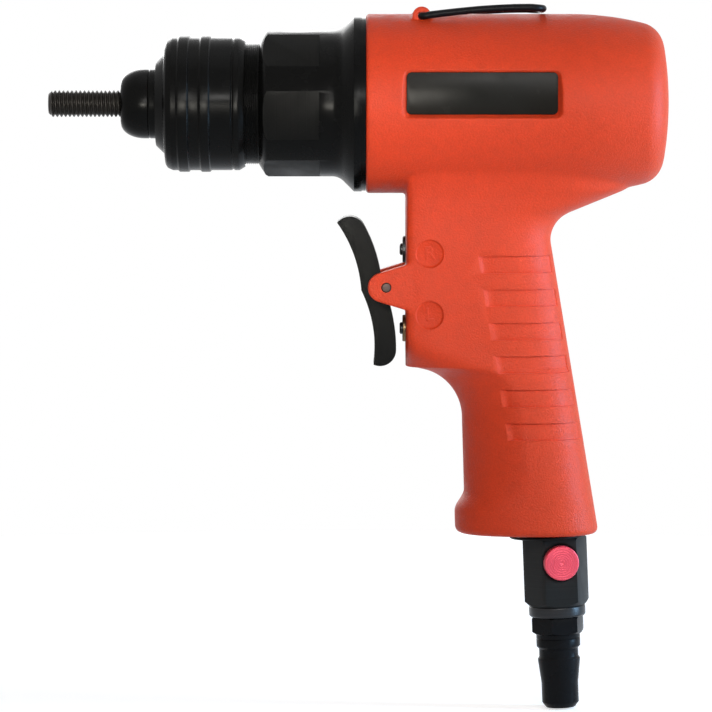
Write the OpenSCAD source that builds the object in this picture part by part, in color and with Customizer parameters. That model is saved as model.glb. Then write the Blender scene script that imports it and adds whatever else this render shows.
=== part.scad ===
// Pneumatic rivet nut tool with a pistol grip, in millimetres.
// The spindle runs along X with the nose towards -X, and +Z is up.
// The origin is the centre of the anvil's front face, where a rivet nut's flange seats.

/* [Mandrel and anvil] */
// Thread diameter of the mandrel that the rivet nut is spun onto
mandrel_d = 8; // [6:0.5:9]
// Length of mandrel standing out of the anvil
mandrel_reach = 21.6; // [16:0.4:30]
// Diameter of the anvil behind its domed nose
anvil_d = 20.8; // [19:0.2:22]
// Diameter of the flat that seats the rivet nut's flange
anvil_face_d = 12; // [11:0.5:14]
// Length of the anvil's domed nose
anvil_dome = 7; // [5:0.5:8]
// Length of anvil showing ahead of the collar
anvil_show = 10.5; // [8:0.5:13]

/* [Adjusting collar] */
// Length of the collar along the spindle
collar_len = 26.7; // [24:0.3:32]
// Diameter of the lip around the anvil
collar_lip_d = 25.2; // [24:0.2:28]
// Wall of the collar outside its thread
collar_wall = 1.65; // [1.4:0.05:2.5]
// How far the two finger ridges stand proud
collar_ridge = 0.5; // [0.2:0.1:1]

/* [Front housing] */
// Diameter of the threaded neck under the collar
neck_d = 36.2; // [34:0.2:38]
// Length of neck left showing behind the collar
neck_show = 4.2; // [3:0.1:8]
// Spanner size across the six flats
hex_af = 41; // [39:0.5:42]
// How much larger the turned diameter is than the spanner size
hex_round = 2.5; // [2:0.1:4]
// Length of the spanner flats
hex_len = 18; // [15:0.5:24]
// How far the near flat is turned down from facing sideways, in degrees
hex_turn = 10; // [0:1:29]
// Plain length between the flats and the flare
throat_len = 3.6; // [3:0.1:6]
// Radius of the concave flare
flare_r = 5; // [4:0.5:6]
// How much smaller the flange is than the barrel
flange_step = 0.9; // [0.4:0.1:2]
// Width of the flange's rim
flange_len = 3.6; // [3:0.1:6]

/* [Barrel] */
// Outside diameter of the barrel
barrel_d = 53.4; // [52:0.2:58]
// Length of the barrel from the flange to the rear
barrel_len = 90.2; // [88:0.2:100]
// Wall around the motor
barrel_wall = 3.9; // [3:0.1:4.2]
// Radius of the rounded rear edge
rear_edge_r = 8; // [6:0.5:10]

/* [Grip] */
// Distance of the grip's front face behind the barrel's front
block_setback = 11.85; // [10:0.5:16]
// Depth of the trigger block's underside below the spindle
block_drop = 78.6; // [76:0.5:84]
// Half width of the trigger block
block_half_w = 14.8; // [14:0.2:16]
// Radius of the finger hollow under the trigger block
finger_r = 15; // [12:0.5:18]
// Depth from the front face to the rear at the throat of the grip
grip_depth = 43.35; // [41:0.5:48]
// Lean of the grip's rear edge, in degrees
grip_rake = 9.5; // [7:0.5:12]
// Depth of the grip's base below the spindle
grip_drop = 129.2; // [124:0.5:140]
// Half width of the grip at its base
grip_half_w = 17.4; // [16:0.2:19]
// Depth of the six recesses on each side of the grip
rib_depth = 0.8; // [0.3:0.1:1.2]
// Distance from one recess to the next
rib_pitch = 10.1; // [9:0.1:11]

/* [Trigger and valves] */
// Distance of the trigger pin ahead of the grip's front face
pin_ahead = 5.85; // [5.6:0.1:8]
// Depth of the trigger pin below the spindle
pin_drop = 54.45; // [52:0.5:58]
// Diameter of the trigger pin
pin_d = 3; // [2.5:0.1:4]
// Distance of the forward valve above the pin
forward_rise = 10.95; // [10:0.1:12]
// Distance of the reverse valve below the pin
reverse_drop = 12.75; // [11:0.1:14]
// Thickness of each trigger ear
ear_t = 5; // [4:0.2:6]
// Radius of the trigger's two finger hollows
lever_r = 39.4; // [36:0.2:44]
// Thickness of the trigger strip
lever_t = 6.4; // [5.5:0.1:7]
// Diameter of the valve bushes in the grip
bush_d = 7; // [6:0.1:7.6]
// Diameter of the valve stems
stem_d = 3.6; // [3:0.1:4]

/* [Plate and hanger] */
// Length of the plate
plate_l = 45.6; // [40:0.5:50]
// Height of the plate
plate_h = 12.9; // [11:0.2:15]
// Wire diameter of the hanger bail
bail_wire_d = 2.2; // [1.8:0.1:2.6]
// Length of the bail from its pivot to the cross wire
bail_len = 36; // [30:0.5:42]
// Half distance between the bail's legs
bail_half_w = 11.6; // [10:0.2:13]

/* [Air inlet] */
// Lean of the inlet, in degrees
inlet_lean = 2.3; // [0:0.1:5]
// Spanner size of the inlet bushing
inlet_af = 17; // [16:0.5:19]
// Length of the inlet bushing
inlet_len = 20; // [19:0.5:26]
// How far the bushing is turned from facing sideways, in degrees
inlet_turn = 8; // [0:1:29]
// Diameter of the regulator knob
knob_d = 10.4; // [9:0.2:12]
// Height of the seal ring below the bushing
seal_t = 3.3; // [2.5:0.1:4]
// Spanner size of the air plug
plug_af = 14; // [13:0.5:15]
// Diameter of the air plug's nose
plug_nose_d = 11.1; // [10:0.1:11.6]
// Length of the air plug's cylindrical nose
plug_nose_len = 6; // [5:0.5:9]

/* [Gears and motor] */
// Wall of the ring gear outside its teeth
ring_wall = 1.75; // [1.5:0.05:2.2]
// Wall of the front housing around the ring gear
spigot_wall = 1.95; // [1.7:0.05:2.3]
// Width of the ring gear
ring_w = 9.5; // [9:0.1:11]
// Length of the motor cylinder
motor_len = 50; // [40:1:54]
// How far the cylinder's bore sits off the rotor's axis
rotor_offset = 1.55; // [1:0.05:2.2]
// Wall of the motor cylinder
cylinder_wall = 3.9; // [3.6:0.1:4.2]
// Thickness of the motor's end plates
end_plate_t = 7; // [6.5:0.1:8]

/* [Hidden] */
$fn = 64;
// Fits between pieces
thread_clear = 0.15;
slip = 0.05;
run = 0.05;
press = 0.01;
air = 0.3;

// Stations along the spindle
x_collar = anvil_show;
x_collar_end = x_collar + collar_len;
x_hex = x_collar_end + neck_show;
x_throat = x_hex + hex_len;
x_flare = x_throat + throat_len;
hex_r = (hex_af + hex_round) / 2;
flange_r = barrel_d / 2 - flange_step / 2;
flare_cone = flange_r - hex_r - flare_r * (1 - cos(45));
x_flange = x_flare + flare_r * sin(45) + flare_cone;
x_barrel = x_flange + flange_len;
x_rear = x_barrel + barrel_len;

// Nose
anvil_r = anvil_d / 2;
neck_r = neck_d / 2;
collar_bore_r = neck_r + thread_clear;
collar_r = collar_bore_r + collar_wall;
x_seat = x_collar + 4.1;
seat_t = 2.75;
x_anvil_ring = x_seat + seat_t + 0.1;
anvil_ring_t = 2.4;
x_neck = x_anvil_ring + anvil_ring_t + 2.3;
thrust_w = 6.5;
thrust_r = mandrel_d / 2 + thrust_w;
thrust_nut_t = 4;
x_thrust = x_neck + thrust_nut_t;
thrust_t = 3;
washer_t = 1;
roller_r = (thrust_t - washer_t) / 2;
x_race = x_thrust + thrust_t + 0.1;
race_t = 1;
x_head = x_race + race_t;
shank_r = mandrel_d / 2 - 0.5;
head_r = mandrel_d / 2 + 2.5;
head_len = mandrel_d;
socket_af = 0.75 * mandrel_d;
socket_depth = 0.55 * mandrel_d;
spindle_r = 6;
x_spindle = x_head + head_len + 1;

// Gears: every tooth count keeps three planets evenly spaced
sun_z = 12;
planet_z = 12;
ring_z = sun_z + 2 * planet_z;
pressure = 25;
backlash = 0.12;
bore_r = barrel_d / 2 - barrel_wall;
ring_r = bore_r - slip - spigot_wall;
root_rise = 1.05;
gear_m = (ring_r - ring_wall) / (ring_z / 2 + root_rise);
planet_orbit = gear_m * (sun_z + planet_z) / 2;
planet_pin_r = 2.5;
carrier_r = planet_orbit + planet_pin_r + 2.3;
carrier_room_r = ring_r - ring_wall - 0.15;

// Stations of the gears and motor
spigot_len = 6;
x_motor = x_barrel + spigot_len;
x_ring = x_motor - ring_w;
x_planet = x_ring + 0.5;
planet_w = ring_w - 1;
carrier_t = 5;
x_carrier = x_planet - 0.4 - carrier_t;
bearing_w = 8;
bearing_r = 14;
x_bearing = x_throat - bearing_w;
rotor_bearing_r = 9.5;
rotor_bearing_w = 6;
rotor_shaft_r = 3.5;
x_cylinder = x_motor + end_plate_t;
x_rear_plate = x_cylinder + motor_len;
x_cushion = x_rear_plate + end_plate_t;
cushion_t = 1.8;
bore_end = x_cushion + cushion_t;
cylinder_r = bore_r - slip;
rotor_room_r = cylinder_r - cylinder_wall;
rotor_r = rotor_room_r - rotor_offset - air;

// Grip
block_front = x_barrel + block_setback;
finger_x = block_front + 1.95;
finger_z = -block_drop - 0.4 - finger_r;
throat_z = -40.8;
throat_x = block_front + grip_depth;
tail_r = 9;
tail_rise = 22;
tail_x = throat_x + tail_r * (1 - cos(90 - tail_rise));
tail_z = throat_z + tail_r * sin(90 - tail_rise);
base_edge_r = 2;
lip_fwd = 3;
rib_first = -45.6;
rib_h = 5.2;
rib_n = 6;

// Trigger and valves
pin_x = block_front - pin_ahead;
pin_z = -pin_drop;
forward_z = pin_z + forward_rise;
reverse_z = pin_z - reverse_drop;
ear_tip_r = 4.35;
ear_tip_x = pin_x - 1.1;
ear_in = block_half_w - 0.3 - ear_t;
lever_half_w = ear_in - 0.4;
lever_back_r = lever_r + lever_t;
lever_meet = [pin_x - 7.4, pin_z - 1];
lever_rise = 17.2;
lever_fall = 18.4;
lever_end_in = 1.6;
upper_from_a = 4;
lower_from_a = 26;
upper_end_a = upper_from_a + lever_rise / lever_r * 180 / PI;
lower_end_a = lower_from_a - lever_fall / lever_r * 180 / PI;
bush_len = 12;
flange_proud = 0.9;
flange_sunk = 0.4;
bush_flange_r = bush_d / 2 + 0.5;
stem_proud = 1.75;
stem_gap = 1.8;
stem_collar_t = 2;
stem_tail = 3;
valve_depth = 27;
spring_wire_d = 0.6;

// Plate and hanger
plate_x = block_front + plate_l / 2;
plate_z = 0.059 * barrel_d;
plate_t = 0.5;
plate_sunk = 2.15;
plate_face = barrel_d / 2 - plate_sunk;
plate_pocket = plate_face - plate_t - 0.05;
mark_x = block_front + 7.1;
mark_r = 4.2;
mark_depth = 0.5;
mark_zs = [pin_z + 9.75, pin_z - 8.55];
lug_x = block_front + 4.65;
lug_z = barrel_d / 2 - 0.8;
lug_r = 2.8;
lug_half_w = bail_half_w - bail_wire_d / 2 - 0.25;
cross_z = barrel_d / 2 + bail_wire_d / 2 + air;

// Air inlet, measured down from the grip's base along its own axis
inlet_x = throat_x + 1.5;
deflector_t = 1.4;
deflector_r = 11.3;
spigot_r = 6.5;
spigot_up = 12;
knob_z = -deflector_t - 6.4;
spool_r = 3.5;
knob_t = 3;
knob_sunk = 1;
spool_end = inlet_af / 2 - 2.5;
seal_top = -deflector_t - inlet_len;
seal_r = inlet_af / 2;
plug_top = seal_top - seal_t;
plug_thread_r = 5;
plug_bore_r = 3.6;
plug_hex_len = 5.4;
plug_neck_len = 3.7;
plug_groove_len = 3.8;
plug_cone_len = 7.2;
plug_r = plug_nose_d / 2;
silencer_r = 4;
silencer_gap = 8.85;
silencer_x = inlet_x - spigot_r - silencer_gap - silencer_r;

// Helpers

// Turns a piece drawn up the Z axis so that it lies along X, starting at x
module along_x(x = 0) translate([x, 0, 0]) rotate([0, 90, 0]) children();

// Turns a flat outline drawn in X and Z into a slab from y0 to y1
module slab(y0, y1) translate([0, y1, 0]) rotate([90, 0, 0]) linear_extrude(y1 - y0) children();

// A solid turned about the spindle from [x, radius] points
module turned(points) along_x() rotate_extrude() polygon([for (p = points) [p[1], p[0]]]);

// A plain ring along the spindle
module ring(x, len, r_out, r_in) turned([[x, r_in], [x + len, r_in], [x + len, r_out], [x, r_out]]);

// A drilled hole between two points of the middle plane
module drill(a, b, r) translate([a[0], 0, a[1]])
    rotate([0, atan2(b[0] - a[0], b[1] - a[1]), 0])
    cylinder(r = r, h = norm(b - a));

// Points of an arc in [x, radius]
function arc(cx, cr, r, a0, a1, n) =
    [for (i = [0:n]) [cx + r * cos(a0 + (a1 - a0) * i / n), cr + r * sin(a0 + (a1 - a0) * i / n)]];

// Smooth step from 0 to 1 between a and b
function ease(a, b, v) = let (t = min(1, max(0, (v - a) / (b - a)))) t * t * (3 - 2 * t);

function sorted(v) = len(v) < 2 ? v :
    let (p = v[floor(len(v) / 2)])
    concat(sorted([for (i = v) if (i > p) i]), [p], sorted([for (i = v) if (i < p) i]));

function unit(v) = v / norm(v);
function cat(lists) = [for (l = lists) for (p = l) p];

// Walls and ends of a skin over rings of points that all have n points
module skin(rings) {
    n = len(rings[0]);
    m = len(rings);
    walls = [for (i = [0:m - 2]) for (j = [0:n - 1]) let (k = (j + 1) % n, a = i * n)
        each [[a + j, a + k, a + n + j], [a + k, a + n + k, a + n + j]]];
    first = [for (j = [1:n - 2]) [0, j + 1, j]];
    last = [for (j = [1:n - 2]) [(m - 1) * n, (m - 1) * n + j, (m - 1) * n + j + 1]];
    polyhedron(cat(rings), concat(walls, first, last), convexity = 10);
}

// A round wire along a path, with its frame carried from point to point
module wire(path, r, sides) {
    m = len(path);
    tangents = [for (i = [0:m - 1]) unit(path[min(i + 1, m - 1)] - path[max(i - 1, 0)])];
    start = unit(cross(tangents[0], [0.3, 0.5, 0.81]));
    sides_of = [for (i = 0, u = start; i < m; i = i + 1,
        u = i < m ? unit(u - (u * tangents[i]) * tangents[i]) : u) u];
    skin([for (i = [0:m - 1]) [for (j = [0:sides - 1])
        let (a = 360 * j / sides)
        path[i] + r * (cos(a) * sides_of[i] + sin(a) * cross(sides_of[i], tangents[i]))]]);
}

// Involute gear outline; thinner narrows each tooth at the pitch circle
function involute(a) = tan(a) * 180 / PI - a;
function half_tooth(z, rho, thinner) = let (r = gear_m * z / 2)
    90 / z - thinner / 2 / r * 180 / PI + involute(pressure)
    - involute(acos(min(1, r * cos(pressure) / rho)));
function tooth_side(z, r_root, r_tip, thinner, sign) = let (
    foot = max(r_root, gear_m * z / 2 * cos(pressure) + 0.001),
    rows = concat([[r_root, half_tooth(z, foot, thinner)]],
        [for (i = [0:3]) let (rho = foot + (r_tip - foot) * i / 3) [rho, half_tooth(z, rho, thinner)]]))
    [for (i = [0:4]) let (q = rows[sign < 0 ? i : 4 - i]) [q[0], sign * q[1]]];
function gear_points(z, r_root, r_tip, thinner) =
    [for (k = [0:z - 1]) for (s = [-1, 1]) for (q = tooth_side(z, r_root, r_tip, thinner, s))
        let (a = 360 * k / z + q[1]) q[0] * [cos(a), sin(a)]];
module gear(z, width) linear_extrude(width)
    polygon(gear_points(z, gear_m * (z / 2 - root_rise), gear_m * (z / 2 + 0.8), backlash));

// Grip sections

function front_x(z) =
    z > -block_drop - 0.01 ? block_front :
    z > finger_z ? finger_x + sqrt(max(0, finger_r * finger_r - (z - finger_z) * (z - finger_z))) :
    finger_x + finger_r + 0.03 * (finger_z - z) - lip_fwd * ease(grip_drop - 13, grip_drop - 6.5, -z);
function rear_x(z) =
    z > tail_z ? min(tail_x + (z - tail_z) / tan(tail_rise), x_rear - 11.5) :
    z > throat_z ? throat_x + tail_r - sqrt(tail_r * tail_r - (z - throat_z) * (z - throat_z)) :
    throat_x + (throat_z - z) * tan(grip_rake);
function half_w(z) = z > -34 ?
    lookup(z, [[-34, block_half_w], [-28, block_half_w + 0.5], [-23, block_half_w + 1.6],
        [-19, block_half_w + 3.2]]) :
    block_half_w + (grip_half_w - block_half_w) * ease(block_drop - 8, grip_drop - 8, -z);
function front_power(z) = 7 * pow(0.243, ease(block_drop - 11, block_drop + 3, -z))
    + 0.6 * ease(grip_drop - 22, grip_drop - 6, -z);
function base_inset(z) = let (d = max(0, base_edge_r - grip_drop - z))
    base_edge_r - sqrt(max(0, base_edge_r * base_edge_r - d * d));
function in_rib(z) = max([for (k = [0:rib_n - 1]) let (top = rib_first - k * rib_pitch)
    (z < top && z > top - rib_h) ? 1 : 0]);
function rib_cut(x, z) = rib_depth * in_rib(z)
    * ease(rear_x(z) - 24.5, rear_x(z) - 22, x) * (1 - ease(rear_x(z) - 3, rear_x(z) - 0.5, x));
function grip_ring(z, n) = let (
    inset = base_inset(z), fx = front_x(z) + inset, rx = rear_x(z) - inset, w = half_w(z) - inset,
    mid = fx + 0.52 * (rx - fx))
    [for (i = [0:n - 1]) let (
        a = 360 * i / n, c = cos(a), s = sin(a), p = 2 / (c < 0 ? front_power(z) : 2.6),
        x = mid + (c < 0 ? fx - mid : rx - mid) * pow(abs(c), p),
        y = w * sign(s) * pow(abs(s), p))
        [x, y - sign(s) * min(abs(y), rib_cut(x, z)), z]];
grip_levels = sorted(concat(
    [-19, -23, -28, -block_drop + 10, -block_drop + 7, -block_drop + 4, -block_drop],
    [-grip_drop + 18, -grip_drop + 13, -grip_drop + 10.5],
    [-grip_drop + 8, -grip_drop + 5.5],
    [for (a = [0:17:90 - tail_rise]) throat_z + tail_r * sin(a)],
    [for (a = [0, 18, 36, 52, 66, 80]) finger_z + finger_r * sin(a)],
    [for (k = [0:rib_n - 1]) for (e = [0.3, -0.3], h = [0, rib_h]) rib_first - k * rib_pitch - h + e],
    [for (d = [1, 0.92, 0.75, 0.45, 0]) -grip_drop + base_edge_r * (1 - d)]));

module grip_loft() skin([for (z = grip_levels) grip_ring(z, 36)]);

// Barrel: cylinder, long taper, rounded rear edge and shallow dome
module barrel() {
    r = barrel_d / 2;
    taper_a = 14;
    dome_a = 10;
    taper_r = 90;
    edge_c = r - taper_r * (1 - cos(taper_a)) - rear_edge_r * cos(taper_a);
    dome_r = (edge_c + rear_edge_r * sin(dome_a)) / sin(dome_a);
    edge_x = x_rear - dome_r * (1 - cos(dome_a)) - rear_edge_r * cos(dome_a);
    taper_x = edge_x + rear_edge_r * sin(taper_a) - taper_r * sin(taper_a);
    turned(concat([[x_barrel, 0], [x_barrel, r - 0.5], [x_barrel + 0.5, r]],
        arc(taper_x, r - taper_r, taper_r, 90, 90 - taper_a, 4),
        arc(edge_x, edge_c, rear_edge_r, 90 - taper_a - 11, dome_a, 5),
        arc(x_rear - dome_r, 0, dome_r, dome_a * 0.6, 0, 2)));
}

module ear() {
    d = block_front - ear_tip_x;
    root = 7.2;
    reach = norm([d, root]);
    a = atan2(root, d) + acos(ear_tip_r / reach);
    slab(ear_in, ear_in + ear_t) {
        translate([ear_tip_x, pin_z]) circle(ear_tip_r);
        polygon([[ear_tip_x + ear_tip_r * cos(a), pin_z - ear_tip_r * sin(a)],
            [block_front, pin_z - root], [block_front + 9, pin_z - root],
            [block_front + 9, pin_z + root], [block_front, pin_z + root],
            [ear_tip_x + ear_tip_r * cos(a), pin_z + ear_tip_r * sin(a)]]);
    }
}

module round_rect(l, h, r) {
    square([l - 2 * r, h], center = true);
    square([l, h - 2 * r], center = true);
    for (x = [-1, 1], y = [-1, 1]) translate([x * (l / 2 - r), y * (h / 2 - r)]) circle(r);
}

module valve_bore(z) along_x(block_front) translate([-z, 0, 0]) {
    cylinder(r = bush_d / 2 + slip, h = valve_depth);
    translate([0, 0, -4]) cylinder(r = bush_flange_r + slip, h = 4 + flange_sunk);
}

// Places a piece drawn about the inlet's own axis, with z = 0 at the grip's base
module at_inlet() translate([inlet_x, 0, -grip_drop]) rotate([0, -inlet_lean, 0]) children();

// Lays a piece drawn up Z so that it points out of the bushing's near face, from the inlet's axis
module at_knob() at_inlet() rotate([0, 0, inlet_turn]) translate([0, 0, knob_z]) rotate([90, 0, 0]) children();

module housing() color("firebrick") difference() {
    union() {
        barrel();
        grip_loft();
        ear();
        mirror([0, 1, 0]) ear();
        slab(-lug_half_w, lug_half_w) {
            translate([lug_x, lug_z]) circle(lug_r);
            polygon([[lug_x - lug_r - 1.2, lug_z - 5], [lug_x + lug_r + 1.2, lug_z - 5],
                [lug_x + lug_r - 0.2, lug_z], [lug_x - lug_r + 0.2, lug_z]]);
        }
    }
    along_x(x_barrel - 1) cylinder(r = bore_r, h = bore_end - x_barrel + 1);
    slab(-barrel_d / 2 - 1, -plate_pocket) translate([plate_x, plate_z])
        round_rect(plate_l + 0.2, plate_h + 0.2, 1.6);
    slab(-barrel_d / 2 - 1, -plate_face - plate_sunk / 2) translate([plate_x, plate_z])
        round_rect(plate_l + 2.2, plate_h + 2.2, 2.6);
    slab(-block_half_w - 3, -block_half_w + mark_depth) for (z = mark_zs)
        translate([mark_x, z]) circle(mark_r);
    valve_bore(forward_z);
    valve_bore(reverse_z);
    translate([pin_x, 0, pin_z]) rotate([90, 0, 0]) cylinder(r = pin_d / 2 + press, h = 60, center = true);
    translate([lug_x, 0, lug_z]) rotate([90, 0, 0])
        cylinder(r = bail_wire_d / 2 + run, h = 4 * lug_half_w, center = true);
    at_inlet() translate([0, 0, -6]) cylinder(r = spigot_r + slip, h = spigot_up + 7);
    drill([inlet_x + 0.5, -grip_drop + spigot_up], [block_front + 24, reverse_z], 3.5);
    drill([block_front + 24, reverse_z], [block_front + 24, -bore_r + 3], 2.5);
    translate([silencer_x, 0, -grip_drop - 1]) cylinder(r = silencer_r + slip, h = 13);
}

module name_plate() color("black") slab(-plate_face, -plate_face + plate_t)
    translate([plate_x, plate_z]) round_rect(plate_l, plate_h, 1.5);

// Front housing: threaded neck, spanner flats, flare, flange and the spigot in the barrel
module front_housing() color([0.13, 0.13, 0.14]) difference() {
    turned(concat([[x_neck, thrust_r + 0.1], [x_neck, neck_r - 0.8], [x_neck + 0.8, neck_r],
        [x_hex - 0.3, neck_r], [x_hex, neck_r + 0.3], [x_hex + 1.8, hex_r - 0.5], [x_hex + 2.6, hex_r]],
        arc(x_flare, hex_r + flare_r, flare_r, -90, -45, 4),
        [[x_flange, flange_r], [x_barrel - 1.3, flange_r], [x_barrel - 1.3, flange_r - 0.25],
        [x_barrel, flange_r - 0.25], [x_barrel, bore_r - slip], [x_motor, bore_r - slip],
        [x_motor, ring_r + slip], [x_ring, ring_r + slip], [x_ring, carrier_room_r],
        [x_carrier - 0.8, carrier_room_r], [x_carrier - 0.8, bearing_r + slip],
        [x_bearing, bearing_r + slip], [x_bearing, spindle_r + 0.6],
        [x_spindle + 1, spindle_r + 0.6], [x_spindle + 1, thrust_r + 0.1]]));
    for (k = [0:5]) rotate([60 * k + hex_turn, 0, 0])
        translate([x_hex - 2, -hex_af / 2 - 10, -20]) cube([hex_len + 2, 10, 40]);
}

module adjusting_collar() color([0.12, 0.12, 0.13]) {
    r = collar_r;
    h = collar_ridge;
    turned([[x_collar, anvil_r + 0.3], [x_collar, collar_lip_d / 2], [x_collar + 2.5, collar_lip_d / 2 + 2.4],
        [x_collar + 2.9, r - 1.6], [x_collar + 3.5, r - 0.7], [x_collar + 5, r], [x_collar + 6.6, r],
        [x_collar + 7.1, r + h], [x_collar + 9.9, r + h], [x_collar + 10.2, r], [x_collar + 13.2, r],
        [x_collar + 13.7, r + h], [x_collar + 16.2, r + h], [x_collar + 16.5, r],
        [x_collar_end - 4, r], [x_collar_end - 3.8, r - 0.3], [x_collar_end - 3.4, r - 0.3],
        [x_collar_end - 3.2, r], [x_collar_end - 1.8, r], [x_collar_end, r - 1.1],
        [x_collar_end, collar_bore_r], [x_seat, collar_bore_r], [x_seat, anvil_r + 0.3]]);
}

module anvil_ring() color([0.3, 0.3, 0.32])
    ring(x_anvil_ring, anvil_ring_t, collar_bore_r - press, anvil_r + 1);

// Anvil: flat face, domed nose, plain shank and the flange that sits in the collar
module anvil() color([0.14, 0.14, 0.15]) {
    bore = mandrel_d / 2 + air;
    step = anvil_r - anvil_face_d / 2;
    turned(concat([[0, bore], [0, anvil_face_d / 2]],
        [for (i = [1:5]) [anvil_dome * (1 - cos(18 * i)), anvil_face_d / 2 + step * sin(18 * i)]],
        [[x_collar - 2.2, anvil_r], [x_collar - 2.0, anvil_r - 0.25], [x_collar - 1.7, anvil_r],
        [x_seat + 0.1, anvil_r], [x_seat + 0.1, collar_bore_r - air], [x_seat + seat_t, collar_bore_r - air],
        [x_seat + seat_t, bore]]));
}

// Mandrel: thread, relieved shank and a round head with a hex socket
module mandrel() color([0.55, 0.55, 0.56]) difference() {
    turned([[-mandrel_reach, 0], [-mandrel_reach, mandrel_d / 2 - 1], [1 - mandrel_reach, mandrel_d / 2],
        [0, mandrel_d / 2], [0.5, shank_r], [x_head, shank_r], [x_head, head_r],
        [x_head + head_len, head_r], [x_head + head_len, 0]]);
    along_x(x_head + head_len - socket_depth)
        cylinder(r = socket_af / 2 / cos(30), h = socket_depth + 1, $fn = 6);
}

module thrust_nut() color([0.3, 0.3, 0.32]) ring(x_neck, thrust_nut_t, thrust_r + 0.05, mandrel_d / 2 + 0.4);

// Static race with its needle rollers
module thrust_bearing() color([0.6, 0.6, 0.62]) {
    ring(x_thrust, washer_t, thrust_r - 0.2, mandrel_d / 2 + 0.4);
    for (k = [0:11]) rotate([30 * k, 0, 0])
        translate([x_thrust + washer_t + 0.95 * roller_r, 0, mandrel_d / 2 + 1.2 * roller_r])
        cylinder(r = roller_r, h = thrust_w - 2.2 * roller_r);
}

module thrust_race() color([0.6, 0.6, 0.62]) ring(x_race, race_t, thrust_r - 0.2, shank_r + slip);

// Spindle: hex drive, bearing seat, shoulder and planet carrier
module spindle() color([0.5, 0.5, 0.52]) difference() {
    union() {
        turned([[x_spindle, 0], [x_spindle, spindle_r], [x_throat, spindle_r], [x_throat, spindle_r + 2],
            [x_carrier, spindle_r + 2], [x_carrier, carrier_r],
            [x_carrier + carrier_t, carrier_r], [x_carrier + carrier_t, 0]]);
        along_x(x_head + head_len - socket_depth + 0.4)
            cylinder(r = (socket_af - 0.1) / 2 / cos(30), h = socket_depth + 1.6, $fn = 6);
    }
    for (a = [90, 210, 330]) along_x(x_carrier - 1) rotate([0, 0, a]) translate([planet_orbit, 0, 0])
        cylinder(r = planet_pin_r + press, h = carrier_t + 2);
}

module bearing_outer(x, r_out, r_in, w) {
    mid = (r_out + r_in) / 2;
    turned([[x, mid - 0.3], [x, r_out], [x + w, r_out], [x + w, mid - 0.3], [x + w - 0.6, mid - 0.3],
        [x + w - 0.6, mid + 1.2], [x + 0.6, mid + 1.2], [x + 0.6, mid - 0.3]]);
}

module bearing_inner(x, r_out, r_in, w) ring(x, w, (r_out + r_in) / 2 - 0.6, r_in + press);

module spindle_bearing_outer() color([0.65, 0.65, 0.67]) bearing_outer(x_bearing, bearing_r, spindle_r, bearing_w);
module spindle_bearing_inner() color([0.65, 0.65, 0.67]) bearing_inner(x_bearing, bearing_r, spindle_r, bearing_w);

module ring_gear() color([0.45, 0.45, 0.47]) along_x(x_ring) difference() {
    cylinder(r = ring_r, h = ring_w);
    translate([0, 0, -1]) rotate([0, 0, 180 / ring_z]) linear_extrude(ring_w + 2)
        polygon(gear_points(ring_z, gear_m * (ring_z / 2 - 0.8), gear_m * (ring_z / 2 + root_rise), -backlash));
}

// Planets start half a tooth round, with a gap towards the sun and another towards the ring
module planet(a) color([0.5, 0.5, 0.5]) along_x(x_planet) rotate([0, 0, a]) translate([planet_orbit, 0, 0])
    rotate([0, 0, 180 / planet_z]) difference() {
        gear(planet_z, planet_w);
        translate([0, 0, -1]) cylinder(r = planet_pin_r + run, h = planet_w + 2);
    }

module planet_gear_1() planet(90);
module planet_gear_2() planet(210);
module planet_gear_3() planet(330);

module planet_pins() color([0.6, 0.6, 0.6]) for (a = [90, 210, 330]) along_x(x_carrier)
    rotate([0, 0, a]) translate([planet_orbit, 0, 0]) cylinder(r = planet_pin_r, h = carrier_t + planet_w + 0.6);

module sun_gear() color([0.5, 0.5, 0.5]) along_x(x_planet) difference() {
    gear(sun_z, planet_w);
    translate([0, 0, -1]) cylinder(r = rotor_shaft_r - 1 + press, h = planet_w + 2);
}

module end_plate(x, pocket_x) color([0.6, 0.6, 0.6]) difference() {
    along_x(x) cylinder(r = bore_r - slip, h = end_plate_t);
    along_x(x - 1) cylinder(r = (rotor_bearing_r + rotor_shaft_r) / 2 - 0.3, h = end_plate_t + 2);
    along_x(pocket_x) cylinder(r = rotor_bearing_r + press, h = rotor_bearing_w + 1);
}

module front_end_plate() end_plate(x_motor, x_motor - 1);
module rear_end_plate() end_plate(x_rear_plate, x_cushion - rotor_bearing_w);

// The rotor turns off-centre in the cylinder's bore, with ports below and above
module motor_cylinder() color([0.58, 0.58, 0.6]) difference() {
    along_x(x_cylinder) cylinder(r = cylinder_r, h = motor_len);
    translate([0, 0, rotor_offset]) along_x(x_cylinder - 1) cylinder(r = rotor_room_r, h = motor_len + 2);
    for (x = [0.3, 0.7]) translate([x_cylinder + x * motor_len, 0, -bore_r - 1]) cylinder(r = 3, h = bore_r);
}

module rotor() color([0.5, 0.5, 0.5]) difference() {
    turned([[x_planet, 0], [x_planet, rotor_shaft_r - 1], [x_motor - 0.4, rotor_shaft_r - 1],
        [x_motor - 0.4, rotor_shaft_r], [x_cylinder + air, rotor_shaft_r], [x_cylinder + air, rotor_r],
        [x_rear_plate - air, rotor_r], [x_rear_plate - air, rotor_shaft_r],
        [x_cushion - 0.2, rotor_shaft_r], [x_cushion - 0.2, 0]]);
    for (k = [0:4]) rotate([72 * k + 36, 0, 0])
        translate([x_cylinder - 1, -1.1, rotor_r / 2]) cube([motor_len + 2, 2.2, 2 * rotor_r]);
}

module rotor_vanes() color([0.45, 0.33, 0.2]) for (k = [0:4]) rotate([72 * k + 36, 0, 0])
    translate([x_cylinder + 0.5, -1, rotor_r / 2 + 0.2]) cube([motor_len - 1, 2, rotor_r / 2 - 0.3]);

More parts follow.
